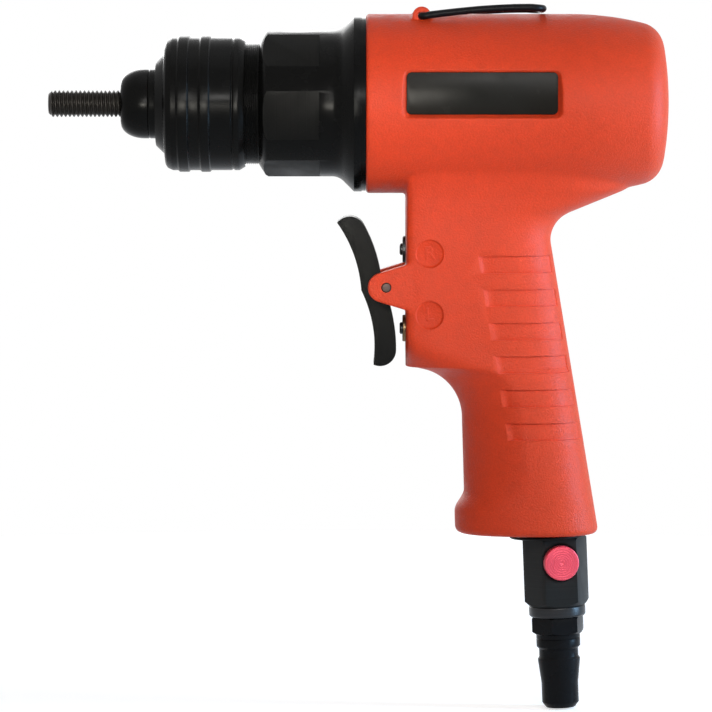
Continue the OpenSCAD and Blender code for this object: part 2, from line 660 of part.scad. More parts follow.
module front_rotor_bearing_outer() color([0.65, 0.65, 0.67])
    bearing_outer(x_motor, rotor_bearing_r, rotor_shaft_r, rotor_bearing_w);
module front_rotor_bearing_inner() color([0.65, 0.65, 0.67])
    bearing_inner(x_motor, rotor_bearing_r, rotor_shaft_r, rotor_bearing_w);
module rear_rotor_bearing_outer() color([0.65, 0.65, 0.67])
    bearing_outer(x_cushion - rotor_bearing_w, rotor_bearing_r, rotor_shaft_r, rotor_bearing_w);
module rear_rotor_bearing_inner() color([0.65, 0.65, 0.67])
    bearing_inner(x_cushion - rotor_bearing_w, rotor_bearing_r, rotor_shaft_r, rotor_bearing_w);

module motor_cushion() color([0.1, 0.1, 0.1]) ring(x_cushion, cushion_t, bore_r - 0.2, rotor_bearing_r - 1.5);

// Half of the trigger strip: a finger hollow from one angle to an end rounded at the back
module lever_half(from_a, end_a) translate(lever_meet - lever_r * [cos(from_a), sin(from_a)]) {
    span = 2 * lever_back_r;
    difference() {
        circle(lever_back_r, $fn = 200);
        circle(lever_r, $fn = 200);
        rotate(max(from_a, end_a)) translate([-span, 0]) square([2 * span, span]);
        rotate(min(from_a, end_a)) translate([-span, -span]) square([2 * span, span]);
        translate([-span, -span]) square([span, 2 * span]);
    }
    difference() {
        rotate(end_a) translate([lever_r + lever_end_in, 0]) circle(lever_t - lever_end_in);
        circle(lever_r, $fn = 200);
    }
}

// Rocker strip with a finger hollow above and below, and a hub for its pin
module trigger() color([0.1, 0.1, 0.1]) difference() {
    union() {
        slab(-lever_half_w, lever_half_w) {
            lever_half(upper_from_a, upper_end_a);
            lever_half(lower_from_a, lower_end_a);
        }
        translate([pin_x, 0, pin_z]) rotate([90, 0, 0])
            cylinder(r = pin_d / 2 + 1.9, h = 2 * lever_half_w, center = true);
    }
    translate([pin_x, 0, pin_z]) rotate([90, 0, 0])
        cylinder(r = pin_d / 2 + run, h = 2 * lever_half_w + 2, center = true);
}

module trigger_pin() color([0.5, 0.5, 0.5]) translate([pin_x, 0, pin_z]) rotate([90, 0, 0])
    cylinder(r = pin_d / 2, h = 2 * (ear_in + ear_t), center = true);

module valve_bush(z) color("goldenrod") along_x(block_front) translate([-z, 0, 0]) difference() {
    union() {
        translate([0, 0, -flange_proud]) cylinder(r = bush_flange_r, h = flange_proud + flange_sunk);
        cylinder(r = bush_d / 2, h = bush_len);
    }
    translate([0, 0, -2]) cylinder(r = stem_d / 2 + run, h = bush_len + 4);
}

module valve_stem(z) color([0.35, 0.35, 0.36]) along_x(block_front - stem_proud) translate([-z, 0, 0]) {
    len = stem_proud + bush_len + stem_gap;
    cylinder(r = stem_d / 2, h = len);
    translate([0, 0, len]) cylinder(r = bush_d / 2 - air, h = stem_collar_t);
    translate([0, 0, len + stem_collar_t]) cylinder(r = bush_d / 2 - 2.2, h = stem_tail);
}

module valve_spring(z) color([0.6, 0.6, 0.6]) {
    from = bush_len + stem_gap + stem_collar_t + spring_wire_d / 2 + 0.05;
    to = valve_depth - spring_wire_d / 2 - 0.05;
    coil = bush_d / 2 - 0.8;
    turns = 5;
    wire([for (i = [0:10 * turns]) [block_front + from + (to - from) * i / 10 / turns,
        coil * cos(36 * i), z + coil * sin(36 * i)]], spring_wire_d / 2, 5);
}

module forward_valve_bush() valve_bush(forward_z);
module forward_valve_stem() valve_stem(forward_z);
module forward_valve_spring() valve_spring(forward_z);
module reverse_valve_bush() valve_bush(reverse_z);
module reverse_valve_stem() valve_stem(reverse_z);
module reverse_valve_spring() valve_spring(reverse_z);

// Wire bail: two pivots in the lug, arched legs and a straight cross wire over the barrel
module hanger_bail() color([0.1, 0.1, 0.1]) {
    r = bail_wire_d / 2;
    bend = 4;
    rise = 2.5;
    turn = r + 0.15;
    x_cross = lug_x + bail_len;
    cross_y = bail_half_w - bend;
    half = concat(
        [for (a = [0:30:90]) [lug_x + turn * (1 - cos(a)), -bail_half_w + turn * (1 - sin(a)), lug_z]],
        [for (t = [0.12:0.11:0.9]) [lug_x + t * (bail_len - bend), -bail_half_w, lug_z + rise * sin(90 * t)]],
        [for (a = [0:22.5:67.5]) [x_cross - bend + bend * sin(a), -bail_half_w + bend * (1 - cos(a)),
            lug_z + rise + (cross_z - lug_z - rise) * sin(a)]],
        [[x_cross, -cross_y, cross_z], [x_cross, -1, cross_z]]);
    other = [for (i = [len(half) - 1:-1:0]) [half[i][0], -half[i][1], half[i][2]]];
    wire(concat([[lug_x, -bail_half_w + turn + 0.8, lug_z]], half, other,
        [[lug_x, bail_half_w - turn - 0.8, lug_z]]), r - 0.02, 10);
    for (s = [-1, 1]) translate([lug_x, s * (bail_half_w - turn + 0.1), lug_z]) rotate([90 * s, 0, 0])
        cylinder(r = r, h = 6);
}

module exhaust_deflector() color([0.15, 0.15, 0.16]) at_inlet() difference() {
    translate([-2.2, 0, -deflector_t]) cylinder(r = deflector_r, h = deflector_t - 0.55);
    translate([0, 0, -deflector_t - 1]) cylinder(r = spigot_r + slip, h = deflector_t + 2);
}

module exhaust_silencer() color([0.6, 0.5, 0.3]) translate([silencer_x, 0, -grip_drop + 1])
    cylinder(r = silencer_r, h = 8);

// Hex inlet bushing with its air way, the regulator's cross bore and the plug's thread
module inlet_bushing() color([0.2, 0.2, 0.21]) difference() {
    at_inlet() {
        cylinder(r = spigot_r, h = spigot_up - 0.2);
        translate([0, 0, -deflector_t - 1]) cylinder(r = spigot_r, h = deflector_t + 2);
        rotate([0, 0, inlet_turn]) intersection() {
            translate([0, 0, seal_top]) rotate([0, 0, 30])
                cylinder(r = inlet_af / 2 / cos(30), h = inlet_len, $fn = 6);
            translate([0, 0, seal_top]) rotate_extrude()
                polygon([[0, 0], [inlet_af / 2 - 0.1, 0], [inlet_af / 2 + 1.5, 1.6],
                    [inlet_af / 2 + 1.5, inlet_len - 0.6], [inlet_af / 2 + 0.6, inlet_len], [0, inlet_len]]);
        }
    }
    at_inlet() translate([0, 0, seal_top - 1]) cylinder(r = plug_thread_r + slip, h = 10.5);
    at_inlet() translate([0, 0, seal_top + 5]) cylinder(r = 2.6, h = 60);
    at_knob() translate([0, 0, -spool_end]) cylinder(r = spool_r + run, h = 40);
    at_knob() translate([0, 0, inlet_af / 2 - knob_sunk]) cylinder(r = knob_d / 2 + 0.6, h = 10);
}

module regulator_knob() color([0.7, 0.1, 0.12]) at_knob() translate([0, 0, inlet_af / 2 - knob_sunk + 0.4])
    rotate_extrude() polygon([[0, 0], [knob_d / 2 - 0.2, 0], [knob_d / 2, 0.2], [knob_d / 2, knob_t - 0.3],
        [knob_d / 2 - 0.3, knob_t], [0, knob_t]]);

// Spool with a cross hole, open to the air way at rest
module regulator_spool() color([0.6, 0.6, 0.62]) at_knob() difference() {
    top = inlet_af / 2 - knob_sunk + 0.4;
    translate([0, 0, 0.3 - spool_end]) rotate_extrude() polygon([[0, 0], [spool_r, 0],
        [spool_r, top + spool_end - 2.4], [spool_r - 0.9, top + spool_end - 2.4],
        [spool_r - 0.9, top + spool_end - 1.2], [spool_r, top + spool_end - 1.2],
        [spool_r, top + spool_end - 0.3], [0, top + spool_end - 0.3]]);
    rotate([90, 0, 0]) cylinder(r = 2.2, h = 20, center = true);
}

module regulator_ring() color([0.5, 0.5, 0.5]) at_knob()
    translate([0, 0, inlet_af / 2 - knob_sunk - 1.55]) difference() {
        cylinder(r = spool_r, h = 0.6);
        translate([0, 0, -1]) cylinder(r = spool_r - 0.8, h = 3);
    }

module plug_seal_ring() color([0.7, 0.7, 0.72]) at_inlet() translate([0, 0, plug_top]) rotate_extrude()
    polygon([[plug_thread_r + 0.1, 0], [seal_r - 0.4, 0], [seal_r, 0.5], [seal_r, seal_t - 0.4],
        [seal_r - 0.3, seal_t], [plug_thread_r + 0.1, seal_t]]);

// Air plug: thread, hex, neck, locking groove, cone and cylindrical nose
module air_plug() color([0.72, 0.72, 0.74]) at_inlet() difference() {
    hex_end = plug_top - plug_hex_len;
    groove = hex_end - plug_neck_len;
    cone = groove - plug_groove_len;
    nose = cone - plug_cone_len;
    tip = nose - plug_nose_len;
    union() {
        rotate([0, 0, 14]) intersection() {
            translate([0, 0, hex_end]) rotate([0, 0, 30])
                cylinder(r = plug_af / 2 / cos(30), h = plug_hex_len, $fn = 6);
            translate([0, 0, hex_end]) rotate_extrude() polygon([[0, 0], [plug_af / 2 - 0.2, 0],
                [plug_af / 2 + 1.2, 1], [plug_af / 2 + 1.2, plug_hex_len - 0.6],
                [plug_af / 2 + 0.2, plug_hex_len], [0, plug_hex_len]]);
        }
        rotate_extrude() polygon([[0, seal_top + 8.5], [plug_thread_r, seal_top + 8.5],
            [plug_thread_r, hex_end + 1], [plug_r + 1.05, hex_end + 1], [plug_r + 1.05, groove],
            [plug_r + 0.35, groove - 0.7], [plug_r + 0.35, cone + 0.7], [plug_r + 0.8, cone],
            [plug_r + 0.8, cone - 0.5], [plug_r, nose], [plug_r, tip], [plug_r - 1.15, tip - 1.5],
            [0, tip - 1.5]]);
    }
    translate([0, 0, tip - 3]) cylinder(r = plug_bore_r, h = 60);
}

housing();
name_plate();
front_housing();
adjusting_collar();
anvil_ring();
anvil();
mandrel();
thrust_nut();
thrust_bearing();
thrust_race();
spindle();
spindle_bearing_outer();
spindle_bearing_inner();
ring_gear();
planet_gear_1();
planet_gear_2();
planet_gear_3();
planet_pins();
sun_gear();
front_end_plate();
motor_cylinder();
rear_end_plate();
rotor();
rotor_vanes();
front_rotor_bearing_outer();
front_rotor_bearing_inner();
rear_rotor_bearing_outer();
rear_rotor_bearing_inner();
motor_cushion();
trigger();
trigger_pin();
forward_valve_bush();
forward_valve_stem();
forward_valve_spring();
reverse_valve_bush();
reverse_valve_stem();
reverse_valve_spring();
hanger_bail();
exhaust_deflector();
exhaust_silencer();
inlet_bushing();
regulator_knob();
regulator_spool();
regulator_ring();
plug_seal_ring();
air_plug();
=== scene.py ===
import math
import bpy
from mathutils import Matrix, Vector


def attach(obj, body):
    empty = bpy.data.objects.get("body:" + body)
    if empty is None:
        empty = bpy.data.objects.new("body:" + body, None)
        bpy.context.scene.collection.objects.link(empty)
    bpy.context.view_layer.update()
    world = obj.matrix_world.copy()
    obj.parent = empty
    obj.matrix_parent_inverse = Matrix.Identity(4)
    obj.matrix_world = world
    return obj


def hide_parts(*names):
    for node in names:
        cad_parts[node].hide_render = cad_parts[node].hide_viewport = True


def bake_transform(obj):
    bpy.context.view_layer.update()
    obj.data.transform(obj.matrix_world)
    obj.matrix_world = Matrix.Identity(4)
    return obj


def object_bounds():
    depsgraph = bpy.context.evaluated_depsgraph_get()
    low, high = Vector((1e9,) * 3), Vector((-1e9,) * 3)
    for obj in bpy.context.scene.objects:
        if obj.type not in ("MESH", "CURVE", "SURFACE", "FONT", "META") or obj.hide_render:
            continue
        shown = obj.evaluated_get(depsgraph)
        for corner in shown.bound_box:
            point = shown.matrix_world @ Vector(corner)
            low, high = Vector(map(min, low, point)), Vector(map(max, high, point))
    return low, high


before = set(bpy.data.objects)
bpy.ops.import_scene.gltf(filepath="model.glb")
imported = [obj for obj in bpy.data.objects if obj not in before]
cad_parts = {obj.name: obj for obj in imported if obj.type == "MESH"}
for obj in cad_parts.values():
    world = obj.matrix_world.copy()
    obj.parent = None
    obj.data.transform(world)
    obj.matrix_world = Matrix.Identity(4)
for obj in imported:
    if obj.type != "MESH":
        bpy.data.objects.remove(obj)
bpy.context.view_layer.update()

# Cast body: one aluminium casting with the barrel, the pistol grip, two trigger
# ears and the lug for the hanger, under a finely textured orange-red coat.
# Its bores are machined after casting, and everything else is fixed to it.
MM = 0.001
ALONG_X = Matrix.Rotation(math.radians(90), 4, "Y")
TOWARDS_VIEWER = Matrix.Rotation(math.radians(90), 4, "X")
BARREL_FRONT, BARREL_REAR, BARREL_R = 73.171, 163.371, 26.7
REAR_EDGE_R, BORE_R, BORE_END = 8.0, 22.8, 144.971
GRIP_FRONT, GRIP_BASE, THROAT_X, THROAT_Z = 85.021, -128.6, 128.371, -40.8
BLOCK_FOOT, UNDER_FOOT, BLOCK_W, BASE_W, BASE_EDGE_R = -78.6, -78.62, 14.8, 17.4, 2.0
BLOCK_SQUARE, REAR_SQUARE = 14, 2.6
PIN_X, PIN_Z, LUG_X, LUG_Z, LUG_W = 79.171, -54.45, 89.671, 25.9, 10.25
FORWARD_Z, REVERSE_Z = -43.5, -67.2


def alone(piece):
    bpy.ops.object.select_all(action="DESELECT")
    piece.select_set(True)
    bpy.context.view_layer.objects.active = piece
    return piece


def moved_to(x, y, z):
    return Matrix.Translation(Vector((x, y, z)) * MM)


def settle(piece, place):
    alone(piece)
    piece.matrix_world = place @ piece.matrix_world
    bpy.ops.object.transform_apply(location=True, rotation=True, scale=True)
    return piece


def face_outwards():
    """Turns every face of the mesh in hand outwards and leaves edit mode."""
    bpy.ops.mesh.select_all(action="SELECT")
    bpy.ops.mesh.normals_make_consistent(inside=False)
    bpy.ops.object.mode_set(mode="OBJECT")


def turned(name, stations, place=ALONG_X, sides=96, ring=False):
    """A lathe piece: a circle drawn out station by station, [distance, radius] in mm."""
    bpy.ops.object.select_all(action="DESELECT")
    at, radius = stations[0]
    bpy.ops.mesh.primitive_circle_add(vertices=sides, radius=radius * MM, location=(0, 0, at * MM))
    piece = bpy.context.object
    piece.name = name
    bpy.ops.object.transform_apply(location=True, rotation=True, scale=True)
    bpy.ops.object.mode_set(mode="EDIT")
    for step, wide in stations[1:] + (stations[:1] if ring else []):
        bpy.ops.mesh.extrude_edges_move(TRANSFORM_OT_translate={"value": (0, 0, (step - at) * MM)})
        if wide != radius:
            grow = wide / radius
            bpy.ops.transform.resize(value=(grow, grow, 1), center_override=(0, 0, step * MM))
        at, radius = step, wide
    bpy.ops.mesh.select_all(action="SELECT")
    if ring:
        bpy.ops.mesh.remove_doubles(threshold=0.000001)
    else:
        bpy.ops.mesh.fill_holes(sides=0)
    face_outwards()
    return settle(piece, place)


def block(name, low, high, place=Matrix()):
    """A plain billet between two corners in mm, to be shaped or cut with."""
    bpy.ops.object.select_all(action="DESELECT")
    low, high = Vector(low) * MM, Vector(high) * MM
    bpy.ops.mesh.primitive_cube_add(size=1, location=(low + high) / 2, scale=high - low)
    piece = bpy.context.object
    piece.name = name
    bpy.ops.object.transform_apply(location=True, rotation=True, scale=True)
    return settle(piece, place)


def joined(name, parts):
    alone(parts[0])
    for part in parts:
        part.select_set(True)
    bpy.ops.object.join()
    parts[0].name = name
    return parts[0]


def apply(piece, kind, **settings):
    alone(piece)
    step = piece.modifiers.new("step", kind)
    for key, value in settings.items():
        setattr(step, key, value)
    bpy.ops.object.modifier_apply(modifier=step.name)
    return piece


def cut(piece, tool, how="DIFFERENCE"):
    apply(piece, "BOOLEAN", operation=how, object=tool, solver="EXACT")
    bpy.data.objects.remove(tool, do_unlink=True)
    return piece


def eased(piece, width, segments=3, angle=30):
    """Breaks the sharp edges, as a deburring tool does, and shades the rest smooth."""
    apply(piece, "BEVEL", width=width * MM, segments=segments, limit_method="ANGLE",
          angle_limit=math.radians(angle), harden_normals=False)
    bpy.ops.object.shade_smooth_by_angle(angle=math.radians(40))
    return piece


def ease(a, b, v):
    t = min(1.0, max(0.0, (v - a) / (b - a)))
    return t * t * (3 - 2 * t)


def barrel_stations():
    sweep, dome = math.radians(14), math.radians(10)
    taper_r = 90
    edge = BARREL_R - taper_r * (1 - math.cos(sweep)) - REAR_EDGE_R * math.cos(sweep)
    dome_r = (edge + REAR_EDGE_R * math.sin(dome)) / math.sin(dome)
    edge_x = BARREL_REAR - dome_r * (1 - math.cos(dome)) - REAR_EDGE_R * math.cos(dome)
    taper_x = edge_x + REAR_EDGE_R * math.sin(sweep) - taper_r * math.sin(sweep)
    line = [(BARREL_FRONT, BARREL_R - 0.6), (BARREL_FRONT + 0.6, BARREL_R)]
    for i in range(17):
        a = math.pi / 2 - sweep * i / 16
        line.append((taper_x + taper_r * math.cos(a), BARREL_R - taper_r + taper_r * math.sin(a)))
    for i in range(1, 25):
        a = math.pi / 2 - sweep - (math.pi / 2 - sweep - dome) * i / 24
        line.append((edge_x + REAR_EDGE_R * math.cos(a), edge + REAR_EDGE_R * math.sin(a)))
    for share in (0.8, 0.6, 0.4, 0.2, 0.05):
        a = dome * share
        line.append((BARREL_REAR - dome_r + dome_r * math.cos(a), dome_r * math.sin(a)))
    return line


def grip_front(z):
    hollow, r = BLOCK_FOOT - 15.4, 15.0
    if z > BLOCK_FOOT - 0.01:
        return GRIP_FRONT
    if z > hollow:
        return GRIP_FRONT + 1.95 + math.sqrt(max(0, r * r - (z - hollow) ** 2))
    return GRIP_FRONT + 16.95 + 0.03 * (hollow - z) - 3 * ease(-GRIP_BASE - 13, -GRIP_BASE - 6.5, -z)


def grip_rear(z):
    rise, r = math.radians(22), 9.0
    tail_x = THROAT_X + r * (1 - math.sin(rise))
    tail_z = THROAT_Z + r * math.cos(rise)
    if z > tail_z:
        return min(tail_x + (z - tail_z) / math.tan(rise), BARREL_REAR - 11.5)
    if z > THROAT_Z:
        return THROAT_X + r - math.sqrt(r * r - (z - THROAT_Z) ** 2)
    return THROAT_X + (THROAT_Z - z) * math.tan(math.radians(9.5))


def grip_width(z):
    if z > -34:
        steps = [(-34, 0), (-28, 0.5), (-23, 1.6), (-19, 3.2), (-15, 5.0)]
        for (a, u), (b, v) in zip(steps, steps[1:]):
            if z <= b:
                return BLOCK_W + u + (v - u) * (z - a) / (b - a)
        return BLOCK_W + 5.0
    return BLOCK_W + (BASE_W - BLOCK_W) * ease(-BLOCK_FOOT - 8, -GRIP_BASE - 8, -z)


def grip_point(angle, z, sunk=0.0):
    """A point on the grip's section at that height, which is round at the back and square at the
    trigger block; sunk draws the sides in behind the finger grooves."""
    low = max(0.0, BASE_EDGE_R + GRIP_BASE - z)
    inset = BASE_EDGE_R - math.sqrt(max(0.0, BASE_EDGE_R ** 2 - low * low))
    front, rear, wide = grip_front(z) + inset, grip_rear(z) - inset, grip_width(z) - inset
    mid = front + 0.52 * (rear - front)
    c, s = math.cos(angle), math.sin(angle)
    square = BLOCK_SQUARE * 0.12 ** ease(-BLOCK_FOOT - 11, -BLOCK_FOOT + 3, -z)
    square += 0.6 * ease(-GRIP_BASE - 22, -GRIP_BASE - 6, -z)
    power = 2 / square if c < 0 else 2 / REAR_SQUARE
    x = mid + (front - mid if c < 0 else rear - mid) * abs(c) ** power
    y = wide * abs(s) ** power
    if sunk and c < 0:
        # The same curve in even steps along the flat side, where the grooves run out.
        x, y = mid + (front - mid) * abs(c), wide * max(0.0, 1 - abs(c) ** square) ** (1 / square)
    if sunk:
        front_end, rear_end = ease(rear - 23.4, rear - 21, x), ease(rear - 2.6, rear - 0.2, x)
        y = max(0.0, y + 0.1 - (sunk + 0.1) * front_end * (1 - rear_end))
    return Vector((x, math.copysign(y, s), z)) * MM


def grip_solid(name, levels, sunk=0.0):
    bpy.ops.object.select_all(action="DESELECT")
    around = 256 if sunk else 128
    bpy.ops.mesh.primitive_circle_add(vertices=around, radius=0.01, location=(0, 0, levels[0] * MM))
    piece = bpy.context.object
    piece.name = name
    bpy.ops.object.transform_apply(location=True, rotation=True, scale=True)
    bpy.ops.object.mode_set(mode="EDIT")
    for upper, lower in zip(levels, levels[1:]):
        bpy.ops.mesh.extrude_edges_move(TRANSFORM_OT_translate={"value": (0, 0, (lower - upper) * MM)})
    bpy.ops.mesh.select_all(action="SELECT")
    bpy.ops.mesh.fill_holes(sides=0)
    face_outwards()
    for corner in piece.data.vertices:
        corner.co = grip_point(math.atan2(corner.co.y, corner.co.x), corner.co.z / MM, sunk)
    return piece


grip_levels = [-16 - 1.1 * i for i in range(57)] + [BLOCK_FOOT, UNDER_FOOT]
grip_levels += [UNDER_FOOT - 0.6 * i for i in range(1, 26)] + [-94 - 1.1 * i for i in range(1, 29)]
grip_levels += [GRIP_BASE + BASE_EDGE_R * (1 - math.sin(math.radians(a))) for a in range(0, 91, 15)]
barrel = turned("barrel", barrel_stations(), sides=160)
grip = grip_solid("grip", grip_levels)

# The plate's recess, with drafted walls.
PLATE_X, PLATE_Z, PLATE_L, PLATE_H, PLATE_T, PLATE_FACE = 107.2, 2.95, 44.4, 12.4, 0.5, -24.55
PLATE_FLOOR = moved_to(PLATE_X, PLATE_FACE + PLATE_T, PLATE_Z) @ TOWARDS_VIEWER


def rounded_plate(name, length, height, corner, thick, draft=0.0):
    bpy.ops.object.select_all(action="DESELECT")
    bpy.ops.mesh.primitive_plane_add(size=1, location=(0, 0, 0))
    piece = bpy.context.object
    piece.name = name
    piece.scale = (length * MM, height * MM, 1)
    bpy.ops.object.transform_apply(location=True, rotation=True, scale=True)
    bpy.ops.object.mode_set(mode="EDIT")
    bpy.ops.mesh.select_all(action="SELECT")
    bpy.ops.mesh.bevel(offset=corner * MM, segments=8, affect="VERTICES")
    bpy.ops.mesh.select_all(action="SELECT")
    bpy.ops.mesh.extrude_region_move(TRANSFORM_OT_translate={"value": (0, 0, thick * MM)})
    bpy.ops.transform.resize(value=(1 + draft / length, 1 + draft / height, 1),
                             center_override=(0, 0, thick * MM))
    face_outwards()
    return piece


recess = rounded_plate("recess", PLATE_L + 0.3, PLATE_H + 0.3, 1.6, 5, draft=4.4)
cut(barrel, settle(recess, PLATE_FLOOR))

# Trigger ears, narrower at the tip than at the root, and the lug, cast in one with the rest.
ACROSS = Matrix.Rotation(math.radians(-90), 4, "X")
AT_PIN, AT_LUG = moved_to(PIN_X, 0, PIN_Z) @ ACROSS, moved_to(LUG_X, 0, LUG_Z) @ ACROSS
EAR_IN, EAR_OUT, EAR_TIP_X, EAR_TIP_R = 9.5, 14.55, PIN_X - 1.1, 4.35
EAR_TIP_H, EAR_ROOT_H, LUG_R, FOOT_HALF = 4.05, 9.6, 2.8, 4
shell = [barrel, grip]
for side in (-1, 1):
    inner, outer = sorted((side * EAR_IN, side * EAR_OUT))
    tip = turned("ear_tip", [(inner, EAR_TIP_R), (outer, EAR_TIP_R)],
                 moved_to(EAR_TIP_X, 0, PIN_Z) @ ACROSS, sides=48)
    web = block("ear_web", (EAR_TIP_X, inner, PIN_Z - 7.2), (GRIP_FRONT + 9, outer, PIN_Z + 7.2))
    for corner in web.data.vertices:
        at_tip = corner.co.x < PIN_X * MM
        half_height = EAR_TIP_H if at_tip else EAR_ROOT_H
        corner.co.z = (PIN_Z + math.copysign(half_height, corner.co.z / MM - PIN_Z)) * MM
        if at_tip:
            corner.co.x -= 1.6 * MM
    shell += [tip, web]
lug = turned("lug", [(-LUG_W, LUG_R), (LUG_W, LUG_R)], AT_LUG, sides=48)
foot = block("lug_foot", (LUG_X - FOOT_HALF, -LUG_W, LUG_Z - 5), (LUG_X + FOOT_HALF, LUG_W, LUG_Z))
for corner in foot.data.vertices:
    if corner.co.z > (LUG_Z - 1) * MM:
        corner.co.x += math.copysign(1.4 * MM, LUG_X * MM - corner.co.x)
body = joined("cast_body", shell + [lug, foot])
apply(body, "REMESH", mode="VOXEL", voxel_size=0.38 * MM)


# The barrel runs into the grip in a wide cast fillet and the ears in a small one.
# Other edges are only just rounded.
def within(distance, reach):
    return max(0.0, 1 - abs(distance) / reach)


root = body.vertex_groups.new(name="root")
for corner in body.data.vertices:
    x, y, z = corner.co / MM
    throat = within(math.hypot(y, z) - BARREL_R, 5) * ease(14, 18, -z)
    throat *= ease(GRIP_FRONT + 1, GRIP_FRONT + 5, x)
    throat *= 1 - ease(146, 156, x)
    ear = within(x - GRIP_FRONT - 3, 7) * within(abs(z - PIN_Z) - 8, 5) * ease(9, 10, abs(y))
    root.add([corner.index], max(throat, 0.3 * ear), "REPLACE")
apply(body, "SMOOTH", factor=0.5, iterations=140, vertex_group="root")
apply(body, "SMOOTH", factor=0.5, iterations=2)
body.vertex_groups.clear()
apply(body, "DECIMATE", ratio=0.3)

# Six finger grooves a side, which run out at both ends, and a round recess for each direction mark.
GROOVE_TOP, GROOVE_PITCH, GROOVE_H, GROOVE_DEPTH = -45.1, 9.92, 5.1, 1.05
grooves = []
for k in range(6):
    top = GROOVE_TOP - GROOVE_PITCH * k
    rear = grip_rear(top - 2.6)
    for side in (-1, 1):
        near, far = sorted((side * 7, side * 22))
        grooves.append(block("groove", (rear - 26, near, top - GROOVE_H), (rear + 2, far, top)))
behind = grip_solid("behind_grooves", grip_levels, sunk=GROOVE_DEPTH)
hollows = [cut(joined("grooves", grooves), behind)]
MARKS, MARK_FLOOR = {"R": (92.0, -44.4), "L": (92.0, -62.6)}, 14.05
for x, z in MARKS.values():
    hollows.append(turned("mark", [(13.95, 3.7), (MARK_FLOOR, 3.85), (15.6, 4.75)],
                          moved_to(x, 0, z) @ TOWARDS_VIEWER, sides=64))

# Machined hollows: motor bore, valve bores, pin and bail holes, inlet thread and silencer bore.
VALVE_SEAT, VALVE_SEAT_R, VALVE_BORE_R = GRIP_FRONT + 0.4, 4.05, 3.55
PIN_HOLE_R, BAIL_HOLE_R, INLET_HOLE_R, SILENCER_X, SILENCER_R = 1.51, 1.15, 6.55, 110.521, 4.05
INLET_X, INLET_Z, INLET_LEAN = 129.871, -129.2, -2.3
INLET = moved_to(INLET_X, 0, INLET_Z) @ Matrix.Rotation(math.radians(INLET_LEAN), 4, "Y")
hollows.append(turned("bore", [(BARREL_FRONT - 2, BORE_R), (BORE_END, BORE_R)], sides=128))
for z in (FORWARD_Z, REVERSE_Z):
    hollows.append(turned("valve_bore", [(GRIP_FRONT - 4, VALVE_SEAT_R), (VALVE_SEAT, VALVE_SEAT_R),
                                         (VALVE_SEAT, VALVE_BORE_R), (GRIP_FRONT + 27, VALVE_BORE_R)],
                          Matrix.Translation((0, 0, z * MM)) @ ALONG_X, sides=48))
for place, r in ((AT_PIN, PIN_HOLE_R), (AT_LUG, BAIL_HOLE_R)):
    hollows.append(turned("cross_hole", [(-20, r), (20, r)], place, sides=32))
hollows.append(turned("inlet_bore", [(-6, INLET_HOLE_R), (13, INLET_HOLE_R)], INLET, sides=48))
hollows.append(turned("silencer_bore", [(GRIP_BASE - 1, SILENCER_R), (GRIP_BASE + 12, SILENCER_R)],
                      Matrix.Translation((SILENCER_X * MM, 0, 0)), sides=48))
cut(body, joined("hollows", hollows))
alone(body)
bpy.ops.object.shade_smooth_by_angle(angle=math.radians(50))


def nodes_of(name):
    finish = bpy.data.materials.new(name)
    finish.use_nodes = True
    return finish, finish.node_tree.nodes, finish.node_tree.links, finish.node_tree.nodes["Principled BSDF"]


def noise(nodes, scale, detail):
    texture = nodes.new("ShaderNodeTexNoise")
    texture.inputs["Scale"].default_value = scale
    texture.inputs["Detail"].default_value = detail
    return texture


def vary_colour(nodes, links, shader, pattern, dark, light):
    tint = nodes.new("ShaderNodeMix")
    tint.data_type = "RGBA"
    tint.inputs["A"].default_value = (*dark, 1)
    tint.inputs["B"].default_value = (*light, 1)
    links.new(pattern, tint.inputs["Factor"])
    links.new(tint.outputs["Result"], shader.inputs["Base Color"])


def vary_gloss(nodes, links, shader, pattern, low, high):
    gloss = nodes.new("ShaderNodeMapRange")
    gloss.inputs["From Min"].default_value = 0.3
    gloss.inputs["From Max"].default_value = 0.7
    gloss.inputs["To Min"].default_value = low
    gloss.inputs["To Max"].default_value = high
    links.new(pattern, gloss.inputs["Value"])
    links.new(gloss.outputs["Result"], shader.inputs["Roughness"])


def raise_grain(nodes, links, shader, pattern, strength, depth):
    bump = nodes.new("ShaderNodeBump")
    bump.inputs["Strength"].default_value = strength
    bump.inputs["Distance"].default_value = depth
    links.new(pattern, bump.inputs["Height"])
    links.new(bump.outputs["Normal"], shader.inputs["Normal"])


def coat(name, colour, rough, grain, depth, mottle=0.12, specular=0.5):
    """Sprayed or moulded finish: fine raised grain, slight mottling of colour and gloss."""
    finish, nodes, links, shader = nodes_of(name)
    where = nodes.new("ShaderNodeTexCoord")
    fine, broad = noise(nodes, grain, 3), noise(nodes, grain * 0.14, 4)
    for texture in (fine, broad):
        links.new(where.outputs["Object"], texture.inputs["Vector"])
    blend = nodes.new("ShaderNodeMix")
    blend.inputs["Factor"].default_value = 0.65
    links.new(broad.outputs["Fac"], blend.inputs["A"])
    links.new(fine.outputs["Fac"], blend.inputs["B"])
    dark = [c * (1 - mottle) for c in colour]
    light = [min(1, c * (1 + mottle)) for c in colour]
    vary_colour(nodes, links, shader, blend.outputs["Result"], dark, light)
    vary_gloss(nodes, links, shader, broad.outputs["Fac"], rough - 0.06, rough + 0.06)
    raise_grain(nodes, links, shader, fine.outputs["Fac"], 1, depth)
    shader.inputs["Specular IOR Level"].default_value = specular
    return finish


def finish_with(piece, finish):
    piece.data.materials.clear()
    piece.data.materials.append(finish)
    return piece


red_coat = coat("red_coat", (0.66, 0.05, 0.013), 0.5, 2100, 0.00018, 0.3, 0.2)
finish_with(body, red_coat)
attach(body, "body")
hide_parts("housing")

